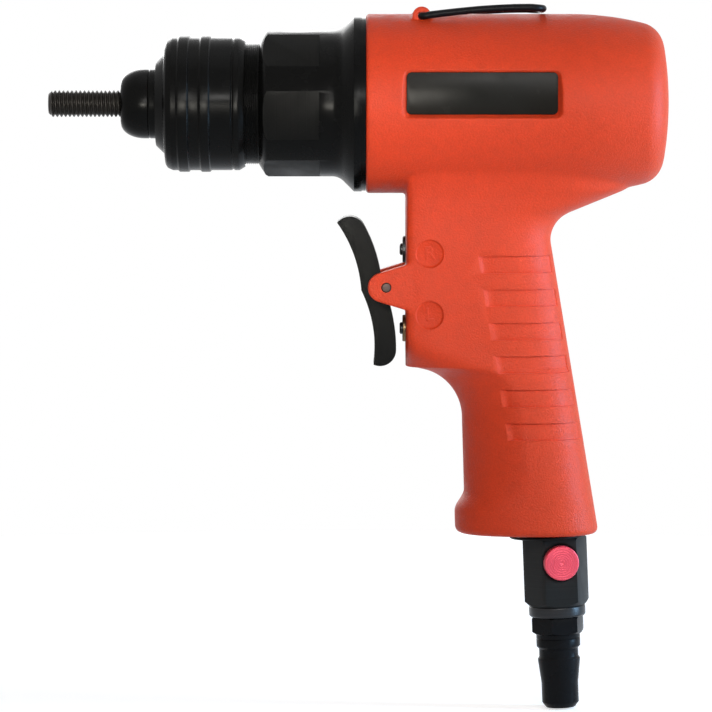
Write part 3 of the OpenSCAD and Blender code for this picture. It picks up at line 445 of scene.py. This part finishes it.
# Direction marks: a raised R and a raised L, each in its own shallow round recess
# beside the valve that drives the spindle that way. They are cast with the body.
LETTER_H, LETTER_RISE, LETTER_EDGE = 5.4, 0.3, 0.12
for letter, (x, z) in MARKS.items():
    bpy.ops.object.select_all(action="DESELECT")
    bpy.ops.object.text_add(location=(0, 0, 0))
    mark = bpy.context.object
    mark.data.body = letter
    mark.data.align_x, mark.data.align_y = "CENTER", "CENTER"
    mark.data.size = LETTER_H * MM
    mark.data.extrude = LETTER_RISE * MM
    mark.data.bevel_depth = LETTER_EDGE * MM
    mark.data.bevel_resolution = 2
    bpy.ops.object.convert(target="MESH")
    mark = bpy.context.object
    mark.name = "mark_" + letter
    settle(mark, moved_to(x, -MARK_FLOOR, z) @ TOWARDS_VIEWER)
    bpy.ops.object.mode_set(mode="EDIT")
    bpy.ops.mesh.select_all(action="SELECT")
    bpy.ops.mesh.remove_doubles(threshold=0.000002)
    bpy.ops.object.mode_set(mode="OBJECT")
    bpy.ops.object.shade_smooth_by_angle(angle=math.radians(35))
    finish_with(mark, red_coat)
    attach(mark, "body")

# Front housing: a turned steel sleeve screwed to the barrel, with six milled
# spanner flats, a flared throat and a flange, blackened all over.
HEX_AF, HEX_TURN, NECK_R, NECK_ROOT_R, RING_PITCH = 41.0, 10.0, 18.1, 17.85, 0.56
sleeve_line = [(21.95, 10.6), (21.95, 17.3), (22.75, NECK_R)]
for ring in range(9):
    at = 36.2 + RING_PITCH * ring
    sleeve_line += [(at, NECK_R), (at + 0.16, NECK_ROOT_R), (at + 0.3, NECK_ROOT_R), (at + 0.46, NECK_R)]
sleeve_line += [(41.35, NECK_R), (41.4, 18.4), (43.2, 21.25), (44.0, 21.75)]
for i in range(13):
    a = math.radians(-90 + 45 * i / 12)
    sleeve_line.append((63.0 + 5 * math.cos(a), 26.75 + 5 * math.sin(a)))
sleeve_line += [(69.57, 26.25), (71.87, 26.25), (71.87, 26.0), (73.12, 26.0), (73.12, 22.75), (79.17, 22.75),
                (79.17, 20.85), (69.67, 20.85), (69.67, 18.9), (63.97, 18.9), (63.97, 14.05), (51.4, 14.05),
                (51.4, 6.6), (40.05, 6.6), (40.05, 10.6)]
sleeve = turned("front_sleeve", sleeve_line, sides=144, ring=True)
for k in range(6):
    about = Matrix.Rotation(math.radians(60 * k + HEX_TURN), 4, "X")
    cut(sleeve, block("mill", (39.4, -HEX_AF / 2 - 10, -20), (59.4, -HEX_AF / 2, 20), about))
eased(sleeve, 0.14, 2, 32)


def turned_metal(name, colour, rough, place, lines=5200, depth=0.00001, metallic=0.0, specular=0.5):
    """Lathe finish: fine rings across the piece's own axis, in surface and colour, and a cloudy gloss."""
    finish, nodes, links, shader = nodes_of(name)
    where = nodes.new("ShaderNodeTexCoord")
    axis = nodes.new("ShaderNodeMapping")
    axis.vector_type = "TEXTURE"
    axis.inputs["Location"].default_value = place.to_translation()
    axis.inputs["Rotation"].default_value = place.to_euler()
    split = nodes.new("ShaderNodeSeparateXYZ")
    rings, cloud = noise(nodes, lines, 2), noise(nodes, 140, 4)
    rings.noise_dimensions = "1D"
    links.new(where.outputs["Object"], axis.inputs["Vector"])
    links.new(axis.outputs["Vector"], split.inputs["Vector"])
    links.new(split.outputs["Z"], rings.inputs["W"])
    links.new(where.outputs["Object"], cloud.inputs["Vector"])
    dark, light = [c * 0.72 for c in colour], [min(1, c * 1.3) for c in colour]
    vary_colour(nodes, links, shader, rings.outputs["Fac"], dark, light)
    vary_gloss(nodes, links, shader, cloud.outputs["Fac"], max(0.02, rough - 0.08), rough + 0.08)
    raise_grain(nodes, links, shader, rings.outputs["Fac"], 0.6, depth)
    shader.inputs["Metallic"].default_value = metallic
    shader.inputs["Specular IOR Level"].default_value = specular
    return finish


black_oxide = turned_metal("black_oxide", (0.0025, 0.0025, 0.0024), 0.25, ALONG_X, specular=0.06)
milled_black = turned_metal("milled_black", (0.004, 0.004, 0.0037), 0.42, ALONG_X, lines=2600,
                            depth=0.00006, specular=0.06)
finish_with(sleeve, black_oxide)
sleeve.data.materials.append(milled_black)
for face in sleeve.data.polygons:
    c, n = face.center / MM, face.normal
    if 41.4 < c.x < 59.6 and abs(n.x) < 0.05 and abs(c.y * n.y + c.z * n.z - HEX_AF / 2) < 0.06:
        face.material_index = 1
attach(sleeve, "body")
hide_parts("front_housing")

# Adjusting collar: a turned and blackened steel cap on the sleeve's thread, with
# two ridges to grip. The ridges' edges that face the rear are partly rubbed bright by the
# hand and partly a painted highlight: a lighter, bluish black where the cool rear light shines.
collar = turned("adjusting_collar", [
    (10.5, 10.7), (10.5, 12.6), (13.0, 15.0), (13.4, 18.3), (14.0, 19.2), (15.5, 19.9), (17.1, 19.9),
    (17.6, 20.4), (20.4, 20.4), (20.7, 19.9), (23.7, 19.9), (24.2, 20.4), (26.7, 20.4), (27.0, 19.9),
    (33.2, 19.9), (33.4, 19.6), (33.8, 19.6), (34.0, 19.9), (35.4, 19.9), (37.2, 18.8), (37.2, 18.25),
    (14.6, 18.25), (14.6, 10.7)], sides=144, ring=True)
eased(collar, 0.16, 3, 20)
# Painted highlight: a lighter, bluish black for the ridge edges, partly rubbed wear and partly the shine of
# the cool rear light.
worn_edge_and_painted_highlight = turned_metal("worn_edge_and_painted_highlight", (0.006, 0.0065, 0.008), 0.24, ALONG_X, specular=0.16)
finish_with(collar, black_oxide)
collar.data.materials.append(worn_edge_and_painted_highlight)
# The painted highlight goes on the ridge faces tilted towards the rear, where the cool rear light would
# catch them.
for face in collar.data.polygons:
    c = face.center / MM
    if math.hypot(c.y, c.z) > 20.3 and 0.3 < face.normal.x < 0.8:
        face.material_index = 1
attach(collar, "collar")
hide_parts("adjusting_collar")

# Anvil: a hardened steel nose that the rivet nut's flange seats on. It is turned
# with a dome and a grip line, and its flange is held inside the collar.
nose_line = [(0, 4.3), (0, 6.0)]
for i in range(1, 13):
    a = math.radians(90 * i / 12)
    nose_line.append((7.0 * (1 - math.cos(a)), 6.0 + 4.4 * math.sin(a)))
nose_line += [(8.3, 10.4), (8.5, 10.15), (8.8, 10.4), (14.7, 10.4), (14.7, 17.95), (17.35, 17.95),
              (17.35, 4.3)]
anvil = turned("anvil", nose_line, sides=112, ring=True)
eased(anvil, 0.12, 2, 35)
finish_with(anvil, black_oxide)
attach(anvil, "nose")
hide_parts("anvil")

# Mandrel: an eight-millimetre screw with a rolled thread, held in the spindle by
# its head. The rivet nut is spun onto the end that stands out of the anvil.
THREAD_PITCH, THREAD_R, THREAD_DEPTH, THREAD_TIP = 1.25, 4.0, 0.72, -21.6
ROOT_SHARE, FLANK_SHARE, TIP_TAPER = 0.12, 0.72, 1.1
screw_line = [(THREAD_TIP + 0.125 * i, THREAD_R) for i in range(174)] + [
    (0.5, 3.5), (25.05, 3.5), (25.05, 6.5), (33.05, 6.5)]
mandrel = turned("mandrel", screw_line, sides=72)
for corner in mandrel.data.vertices:
    x, y, z = corner.co / MM
    if x < 0.4 and math.hypot(y, z) > 2:
        phase = (x / THREAD_PITCH - math.atan2(z, y) / (2 * math.pi)) % 1.0
        height = max(0.0, min(1.0, (abs(phase - 0.5) * 2 - ROOT_SHARE) / FLANK_SHARE))
        radius = min(THREAD_R - THREAD_DEPTH * (1 - height), THREAD_R - TIP_TAPER + (x - THREAD_TIP))
        corner.co.y *= radius / math.hypot(y, z)
        corner.co.z *= radius / math.hypot(y, z)
alone(mandrel)
bpy.ops.object.shade_smooth_by_angle(angle=math.radians(35))
dark_thread = turned_metal("dark_thread", (0.03, 0.027, 0.024), 0.42, ALONG_X, lines=3000,
                           metallic=0.6, specular=0.3)
finish_with(mandrel, dark_thread)
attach(mandrel, "spindle")
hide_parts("mandrel")

# Plate: a glossy black plate with a lacquered face, left blank, stuck on the
# flat floor of its recess in the near side of the barrel.
plate = rounded_plate("blank_plate", PLATE_L, PLATE_H, 1.5, PLATE_T)
settle(plate, PLATE_FLOOR)
eased(plate, 0.12, 3, 30)
plate_gloss = coat("plate_gloss", (0.012, 0.011, 0.009), 0.24, 900, 0.000004, 0.2, 0.05)
finish_with(plate, plate_gloss)
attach(plate, "body")
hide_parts("name_plate")

# Trigger: a moulded black rocker on the pin between the ears. Pressing its top
# drives the spindle one way and pressing its foot drives it the other way.
LEVER_R, LEVER_T, LEVER_W, END_R, HUB_R, PIN_WAY_R = 39.4, 6.4, 9.1, 4.8, 3.4, 1.55
UPPER, LOWER, TOP_END, FOOT_END = (32.467, -58.198), (36.359, -72.722), (68.323, -38.314), (77.355, -73.264)


def swept(centre, radius, start, end, count):
    """Points along an arc in the side view, from one angle in degrees to just short of another."""
    steps = [math.radians(start + (end - start) * i / count) for i in range(count)]
    return [(centre[0] + radius * math.cos(a), centre[1] + radius * math.sin(a)) for a in steps]


outline = (swept(LOWER, LEVER_R, -7.21, 26, 16) + swept(UPPER, LEVER_R, 4, 35.47, 16)
           + swept(TOP_END, END_R, 141.7, 29.01, 12) + swept(UPPER, LEVER_R + LEVER_T, 29.01, 5.55, 14)
           + swept(LOWER, LEVER_R + LEVER_T, 24.45, -0.757, 14) + swept(FOOT_END, END_R, -0.757, -113.4, 12))
bpy.ops.object.select_all(action="DESELECT")
bpy.ops.mesh.primitive_circle_add(vertices=len(outline), radius=0.01, fill_type="NGON", location=(0, 0, 0))
lever = bpy.context.object
lever.name = "trigger"
for corner, (x, z) in zip(lever.data.vertices, outline):
    corner.co = Vector((x, -LEVER_W, z)) * MM
bpy.ops.object.mode_set(mode="EDIT")
bpy.ops.mesh.select_all(action="SELECT")
bpy.ops.mesh.extrude_region_move(TRANSFORM_OT_translate={"value": (0, 2 * LEVER_W * MM, 0)})
face_outwards()
cut(lever, turned("hub", [(-LEVER_W, HUB_R), (LEVER_W, HUB_R)], AT_PIN, sides=64), "UNION")
cut(lever, turned("pin_way", [(-12, PIN_WAY_R), (12, PIN_WAY_R)], AT_PIN, sides=48))
eased(lever, 0.7, 4, 35)
trigger_black = coat("trigger_black", (0.008, 0.008, 0.0075), 0.42, 2600, 0.00001, 0.1, 0.06)
finish_with(lever, trigger_black)
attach(lever, "trigger")
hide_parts("trigger")

# Trigger pin: a plain ground steel pin pressed through both ears, with its
# ends flush and slightly chamfered.
pin = turned("trigger_pin", [(-14.5, 1.2), (-14.2, 1.5), (14.2, 1.5), (14.5, 1.2)], AT_PIN, sides=48)
eased(pin, 0.06, 2, 30)
pin_steel = turned_metal("pin_steel", (0.07, 0.045, 0.038), 0.45, ACROSS, metallic=0.6, specular=0.2)
finish_with(pin, pin_steel)
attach(pin, "body")
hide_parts("trigger_pin")

# Valve bushes, stems and springs: turned bushes pushed into the grip's front face, each
# with a dark steel stem that the trigger presses against the coiled spring behind it.
SPRING_FRONT, SPRING_REAR, SPRING_R, SPRING_WIRE_R = 16.15, 26.65, 2.7, 0.3
SPRING_TURNS, SPRING_STEPS = 5, 24


def swept_wire(name, path, radius, roundness):
    """A round wire along a path in millimetres, with closed ends."""
    bpy.ops.object.select_all(action="DESELECT")
    bpy.ops.curve.primitive_nurbs_path_add(location=(0, 0, 0))
    wire = bpy.context.object
    wire.name = name
    wire.data.splines.clear()
    strand = wire.data.splines.new("POLY")
    strand.points.add(len(path) - 1)
    for point, place in zip(strand.points, path):
        point.co = (*(Vector(place) * MM), 1)
    wire.data.bevel_depth = radius * MM
    wire.data.bevel_resolution = roundness
    wire.data.use_fill_caps = True
    bpy.ops.object.convert(target="MESH")
    wire = bpy.context.object
    bpy.ops.object.shade_smooth_by_angle(angle=math.radians(45))
    return wire


def coil(z):
    steps = SPRING_STEPS * SPRING_TURNS
    turns = [(i / steps, 2 * math.pi * i / SPRING_STEPS) for i in range(steps + 1)]
    return [(GRIP_FRONT + SPRING_FRONT + (SPRING_REAR - SPRING_FRONT) * share,
             SPRING_R * math.cos(a), z + SPRING_R * math.sin(a)) for share, a in turns]


brass = turned_metal("brass", (0.24, 0.16, 0.09), 0.45, ALONG_X, metallic=1.0)
dark_steel = turned_metal("dark_steel", (0.05, 0.05, 0.052), 0.35, ALONG_X, metallic=0.7)
spring_steel = turned_metal("spring_steel", (0.42, 0.42, 0.43), 0.28, ALONG_X, metallic=1.0)
for way, z in (("forward", FORWARD_Z), ("reverse", REVERSE_Z)):
    at_bore = Matrix.Translation((GRIP_FRONT * MM, 0, z * MM)) @ ALONG_X
    bush = turned(way + "_bush", [(-0.9, 1.85), (-0.9, 3.8), (-0.7, 4.0), (0.4, 4.0), (0.4, 3.5),
                                  (12, 3.5), (12, 1.85)], at_bore, sides=64, ring=True)
    eased(bush, 0.08, 2, 30)
    finish_with(bush, brass if way == "reverse" else dark_steel)
    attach(bush, "body")
    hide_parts(way + "_valve_bush")
    stem = turned(way + "_stem", [(-1.75, 1.35), (-1.45, 1.8), (13.8, 1.8), (13.8, 3.2), (15.8, 3.2),
                                  (15.8, 1.3), (18.8, 1.3)], at_bore, sides=48)
    eased(stem, 0.08, 2, 30)
    finish_with(stem, dark_steel)
    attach(stem, way + "_valve")
    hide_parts(way + "_valve_stem")
    spring = swept_wire(way + "_spring", coil(z), SPRING_WIRE_R, 3)
    finish_with(spring, spring_steel)
    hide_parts(way + "_valve_spring")
    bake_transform(spring)

# Hanger bail: one length of black spring wire, sprung into the holes of the lug,
# with its legs arched along the barrel and its cross wire straight over the top.
WIRE_R, BAIL_W, BAIL_LEN, BEND, RISE, PIVOT_L = 1.1, 11.6, 36.0, 4.0, 2.5, 5.9
turn, cross_x, cross_z = WIRE_R + 0.15, LUG_X + BAIL_LEN, BARREL_R + WIRE_R + 0.3
half = [(LUG_X, -BAIL_W + turn + PIVOT_L, LUG_Z), (LUG_X, -BAIL_W + turn + 0.8, LUG_Z)]
for a in (math.radians(d) for d in range(0, 91, 15)):
    half.append((LUG_X + turn * (1 - math.cos(a)), -BAIL_W + turn * (1 - math.sin(a)), LUG_Z))
for share in (0.08 + 0.055 * i for i in range(16)):
    half.append((LUG_X + share * (BAIL_LEN - BEND), -BAIL_W,
                 LUG_Z + RISE * math.sin(math.pi / 2 * share)))
for a in (math.radians(d) for d in range(0, 90, 10)):
    half.append((cross_x - BEND + BEND * math.sin(a), -BAIL_W + BEND * (1 - math.cos(a)),
                 LUG_Z + RISE + (cross_z - LUG_Z - RISE) * math.sin(a)))
half += [(cross_x, -(BAIL_W - BEND) + 0.95 * i, cross_z) for i in range(8)]
path = half + [(x, -y, z) for x, y, z in reversed(half)]
wire = swept_wire("hanger_bail", path, WIRE_R * 0.985, 6)
wire_black = coat("wire_black", (0.006, 0.006, 0.007), 0.3, 1500, 0.000012, 0.2, 0.08)
finish_with(wire, wire_black)
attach(wire, "bail")
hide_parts("hanger_bail")

# Exhaust deflector: a stamped dark disc under the grip's base, held by the inlet
# bushing, that turns the spent air aside.
disc_at = INLET @ Matrix.Translation((-2.2 * MM, 0, 0))
disc = turned("exhaust_deflector", [(-0.8, 10.9), (-0.55, 11.3), (-0.1, 11.3), (0.05, 11.1)], disc_at)
cut(disc, turned("disc_hole", [(-3, INLET_HOLE_R), (2, INLET_HOLE_R)], INLET, sides=64))
eased(disc, 0.08, 2, 30)
disc_black = turned_metal("disc_black", (0.008, 0.008, 0.0075), 0.5, INLET, specular=0.08)
finish_with(disc, disc_black)
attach(disc, "body")
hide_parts("exhaust_deflector")

# Inlet bushing: hex bar screwed into the grip, bored for air from below and for
# the regulator from the near side, with its corners chamfered and blackened.
INLET_AF, INLET_TURN, KNOB_DROP = 17.0, 8, 7.8
KNOB = INLET @ Matrix.Rotation(math.radians(INLET_TURN), 4, "Z")
KNOB = KNOB @ Matrix.Translation((0, 0, -KNOB_DROP * MM)) @ TOWARDS_VIEWER


def hex_bar(name, across, low, high, turn):
    """A length of hex bar on the inlet's axis, with a flat that many degrees from the viewer."""
    corner_r = across / 2 / math.cos(math.pi / 6)
    place = INLET @ Matrix.Rotation(math.radians(turn + 30), 4, "Z")
    return turned(name, [(low, corner_r), (high, corner_r)], place, sides=6)


bushing = hex_bar("inlet_bushing", INLET_AF, -21.4, -0.8, INLET_TURN)
cut(bushing, turned("chamfer", [(-21.4, 8.4), (-19.8, 10.0), (-1.4, 10.0), (-0.8, 9.1)], INLET,
                    sides=128), "INTERSECT")
cut(bushing, turned("spigot", [(-1.8, 6.5), (11.8, 6.5)], INLET, sides=64), "UNION")
cut(bushing, turned("airway", [(-22.4, 5.05), (-11.9, 5.05), (-11.9, 2.6), (20, 2.6)], INLET, sides=48))
cut(bushing, turned("spool_way", [(-6.0, 3.55), (7.5, 3.55), (7.5, 5.8), (17.5, 5.8)], KNOB, sides=64))
eased(bushing, 0.22, 3, 25)
bushing_black = turned_metal("bushing_black", (0.015, 0.015, 0.0145), 0.36, INLET, lines=2400,
                             depth=0.000012, specular=0.1)
finish_with(bushing, bushing_black)
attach(bushing, "body")
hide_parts("inlet_bushing")

# Regulator: a red anodised knob turned from aluminium, with tool marks on its
# face, on the end of the steel spool that throttles the air.
FACE_AT, MARK_AT = 10.9, 10.87
knob_face = [(7.9, 5.0), (8.1, 5.2), (10.6, 5.2), (FACE_AT, 4.9)]
for r in (4.55, 3.85, 3.15, 2.45, 1.75, 1.1):
    knob_face += [(FACE_AT, r + 0.13), (MARK_AT, r + 0.06), (MARK_AT, r - 0.02), (FACE_AT, r - 0.09)]
knob_face += [(FACE_AT, 0.55), (10.7, 0.2)]
knob = turned("regulator_knob", knob_face, KNOB)
eased(knob, 0.05, 2, 40)
red_anodised = turned_metal("red_anodised", (0.74, 0.062, 0.095), 0.36, KNOB, lines=900, metallic=0.35)
finish_with(knob, red_anodised)
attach(knob, "regulator")
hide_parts("regulator_knob")

# Seal ring: a turned ring of dull grey steel with rounded edges, pressed between
# the bushing and the plug.
seal = turned("plug_seal_ring", [(-24.7, 5.1), (-24.7, 8.1), (-24.2, 8.5), (-21.8, 8.5), (-21.4, 8.2),
                                 (-21.4, 5.1)], INLET, sides=112, ring=True)
eased(seal, 0.18, 3, 20)
seal_steel = turned_metal("seal_steel", (0.03, 0.03, 0.031), 0.3, INLET, metallic=0.7, specular=0.15)
finish_with(seal, seal_steel)
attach(seal, "body")
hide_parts("plug_seal_ring")

# Air plug: a quick-connect plug turned from hex bar and screwed into the
# bushing, with its locking groove, cone and plain nose for the hose coupler.
PLUG_AF, PLUG_TURN = 14.0, 14
plug_line = [(-52.3, 3.6), (-52.3, 4.4), (-50.8, 5.55), (-44.8, 5.55), (-38.1, 6.35), (-37.6, 6.35),
             (-36.9, 5.9), (-34.5, 5.9), (-33.8, 6.6), (-31.6, 6.6), (-31.45, 6.45), (-31.3, 6.6),
             (-29.1, 6.6), (-29.1, 5.0), (-12.9, 5.0), (-12.9, 3.6)]
plug = hex_bar("air_plug", PLUG_AF, -30.1, -24.7, PLUG_TURN)
cut(plug, turned("chamfer", [(-30.1, 6.8), (-29.1, 8.2), (-25.3, 8.2), (-24.7, 7.2)], INLET,
                 sides=128), "INTERSECT")
cut(plug, turned("plug_way", [(-60, 4.2), (-10, 4.2)], INLET, sides=64))
cut(plug, turned("plug_body", plug_line, INLET, sides=112, ring=True), "UNION")
eased(plug, 0.16, 3, 22)
plug_black = turned_metal("plug_black", (0.006, 0.006, 0.0066), 0.28, INLET, specular=0.06)
finish_with(plug, plug_black)
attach(plug, "body")
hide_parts("air_plug")

# Inside pieces: the thrust parts, gears, bearings, vane motor and regulator's spool keep
# their machined solids, and each gets the finish of its own metal, resin or rubber.
ground_steel = turned_metal("ground_steel", (0.5, 0.5, 0.52), 0.3, ALONG_X, metallic=1.0)
gear_steel = turned_metal("gear_steel", (0.3, 0.3, 0.31), 0.38, ALONG_X, lines=2500, metallic=1.0)
race_steel = turned_metal("race_steel", (0.62, 0.62, 0.64), 0.18, ALONG_X, metallic=1.0)
vane_resin = coat("vane_resin", (0.32, 0.2, 0.1), 0.6, 900, 0.00002, 0.25)
cushion_rubber = coat("cushion_rubber", (0.02, 0.02, 0.02), 0.75, 1200, 0.00002)
sintered_bronze = coat("sintered_bronze", (0.36, 0.26, 0.13), 0.6, 2600, 0.00008, 0.3)
inside = {
    ground_steel: ["spindle", "planet_pins", "front_end_plate", "rear_end_plate", "motor_cylinder", "rotor",
                   "regulator_spool"],
    gear_steel: ["ring_gear", "planet_gear_1", "planet_gear_2", "planet_gear_3", "sun_gear"],
    race_steel: ["thrust_bearing", "thrust_race", "spindle_bearing_outer", "spindle_bearing_inner",
                 "front_rotor_bearing_outer", "front_rotor_bearing_inner", "rear_rotor_bearing_outer",
                 "rear_rotor_bearing_inner"],
    spring_steel: ["regulator_ring"],
    dark_steel: ["anvil_ring", "thrust_nut"],
    vane_resin: ["rotor_vanes"],
    cushion_rubber: ["motor_cushion"],
    sintered_bronze: ["exhaust_silencer"],
}
for finish, names in inside.items():
    for name in names:
        finish_with(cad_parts[name], finish)

# Floor: a pale matt studio floor just under the plug, which looks nearly white and
# keeps the tool's soft shadow.
FLOOR_R, FLOOR_X, FLOOR_GAP = 0.5, 0.07, 0.0004
bpy.ops.object.select_all(action="DESELECT")
bpy.ops.mesh.primitive_circle_add(vertices=96, radius=FLOOR_R, fill_type="NGON",
                                  location=(FLOOR_X, 0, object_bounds()[0].z - FLOOR_GAP))
floor = bpy.context.object
floor.name = "floor"
bpy.ops.object.transform_apply(location=True, rotation=True, scale=True)
floor_white, nodes, links, shader = nodes_of("floor_white")
shader.inputs["Base Color"].default_value = (0.82, 0.82, 0.82, 1)
shader.inputs["Roughness"].default_value = 0.9
shader.inputs["Specular IOR Level"].default_value = 0.0


def looked_at(nodes, links):
    """One where a ray looks at a surface, straight, in a mirror or through glass, and nothing
    for the light that the surface spreads."""
    ray = nodes.new("ShaderNodeLightPath")
    result = ray.outputs["Is Camera Ray"]
    for kind in ("Is Glossy Ray", "Is Transmission Ray"):
        either = nodes.new("ShaderNodeMath")
        either.operation = "MAXIMUM"
        links.new(result, either.inputs[0])
        links.new(ray.outputs[kind], either.inputs[1])
        result = either.outputs["Value"]
    return result


seen = nodes.new("ShaderNodeMath")
seen.operation = "MULTIPLY"
seen.inputs[1].default_value = 0.62
links.new(looked_at(nodes, links), seen.inputs[0])
shader.inputs["Emission Color"].default_value = (1, 1, 1, 1)
links.new(seen.outputs["Value"], shader.inputs["Emission Strength"])
floor.data.materials.append(floor_white)

# Studio light: a long softbox in front and a little above, a small one for the black
# nose, a cool strip to the rear, and fills behind and above, on a white background.
world = bpy.data.worlds.new("studio")
bpy.context.scene.world = world
world.use_nodes = True
nodes, links = world.node_tree.nodes, world.node_tree.links
sky = nodes["Background"]
sky.inputs["Color"].default_value = (1, 1, 1, 1)
level = nodes.new("ShaderNodeMapRange")
level.inputs["To Min"].default_value = 0.08
level.inputs["To Max"].default_value = 1.0
links.new(looked_at(nodes, links), level.inputs["Value"])
links.new(level.outputs["Result"], sky.inputs["Strength"])
for name, at, aim, size, spread, watts, colour in (
        ("front", (0.19, -0.5, 0.1), (0.09, 0, -0.05), (0.5, 0.06), 70, 0.33, (1, 0.98, 0.95)),
        ("nose", (0.0, -0.5, -0.03), (0.015, 0, 0), (0.16, 0.06), 30, 0.048, (1, 0.96, 0.86)),
        ("rear_strip", (0.75, -0.1, -0.02), (0.085, 0, 0), (0.16, 0.5), 180, 8.5, (0.38, 0.68, 1)),
        ("back", (-0.1, 0.95, 0.25), (0.085, 0, 0), (0.6, 0.6), 180, 4.6, (1, 1, 1)),
        ("top", (0.05, -0.1, 0.95), (0.085, 0, 0), (0.6, 0.6), 180, 0.6, (1, 1, 1))):
    bpy.ops.object.select_all(action="DESELECT")
    bpy.ops.object.light_add(type="AREA", location=at)
    lamp = bpy.context.object
    lamp.name = name
    lamp.data.shape = "RECTANGLE"
    lamp.data.size, lamp.data.size_y = size
    lamp.data.spread = math.radians(spread)
    lamp.data.energy = watts
    lamp.data.color = colour
    lamp.rotation_euler = (Vector(aim) - Vector(at)).to_track_quat("-Z", "Y").to_euler()
    lamp.visible_camera = False

# Camera: a long lens square to the tool's near side, looking down on its middle by
# a few degrees, as in the photograph.
LOOK_AT, ABOVE, AWAY = Vector((0.0702, 0, -0.0756)), math.radians(3.6), 1.2
bpy.ops.object.select_all(action="DESELECT")
bpy.ops.object.camera_add(location=LOOK_AT + AWAY * Vector((0, -math.cos(ABOVE), math.sin(ABOVE))),
                          rotation=(math.pi / 2 - ABOVE, 0, 0))
camera = bpy.context.object
camera.data.sensor_width = 36
camera.data.lens = 202.2
camera.data.clip_end = 20
bpy.context.scene.camera = camera
bpy.context.scene.view_settings.view_transform = "Standard"
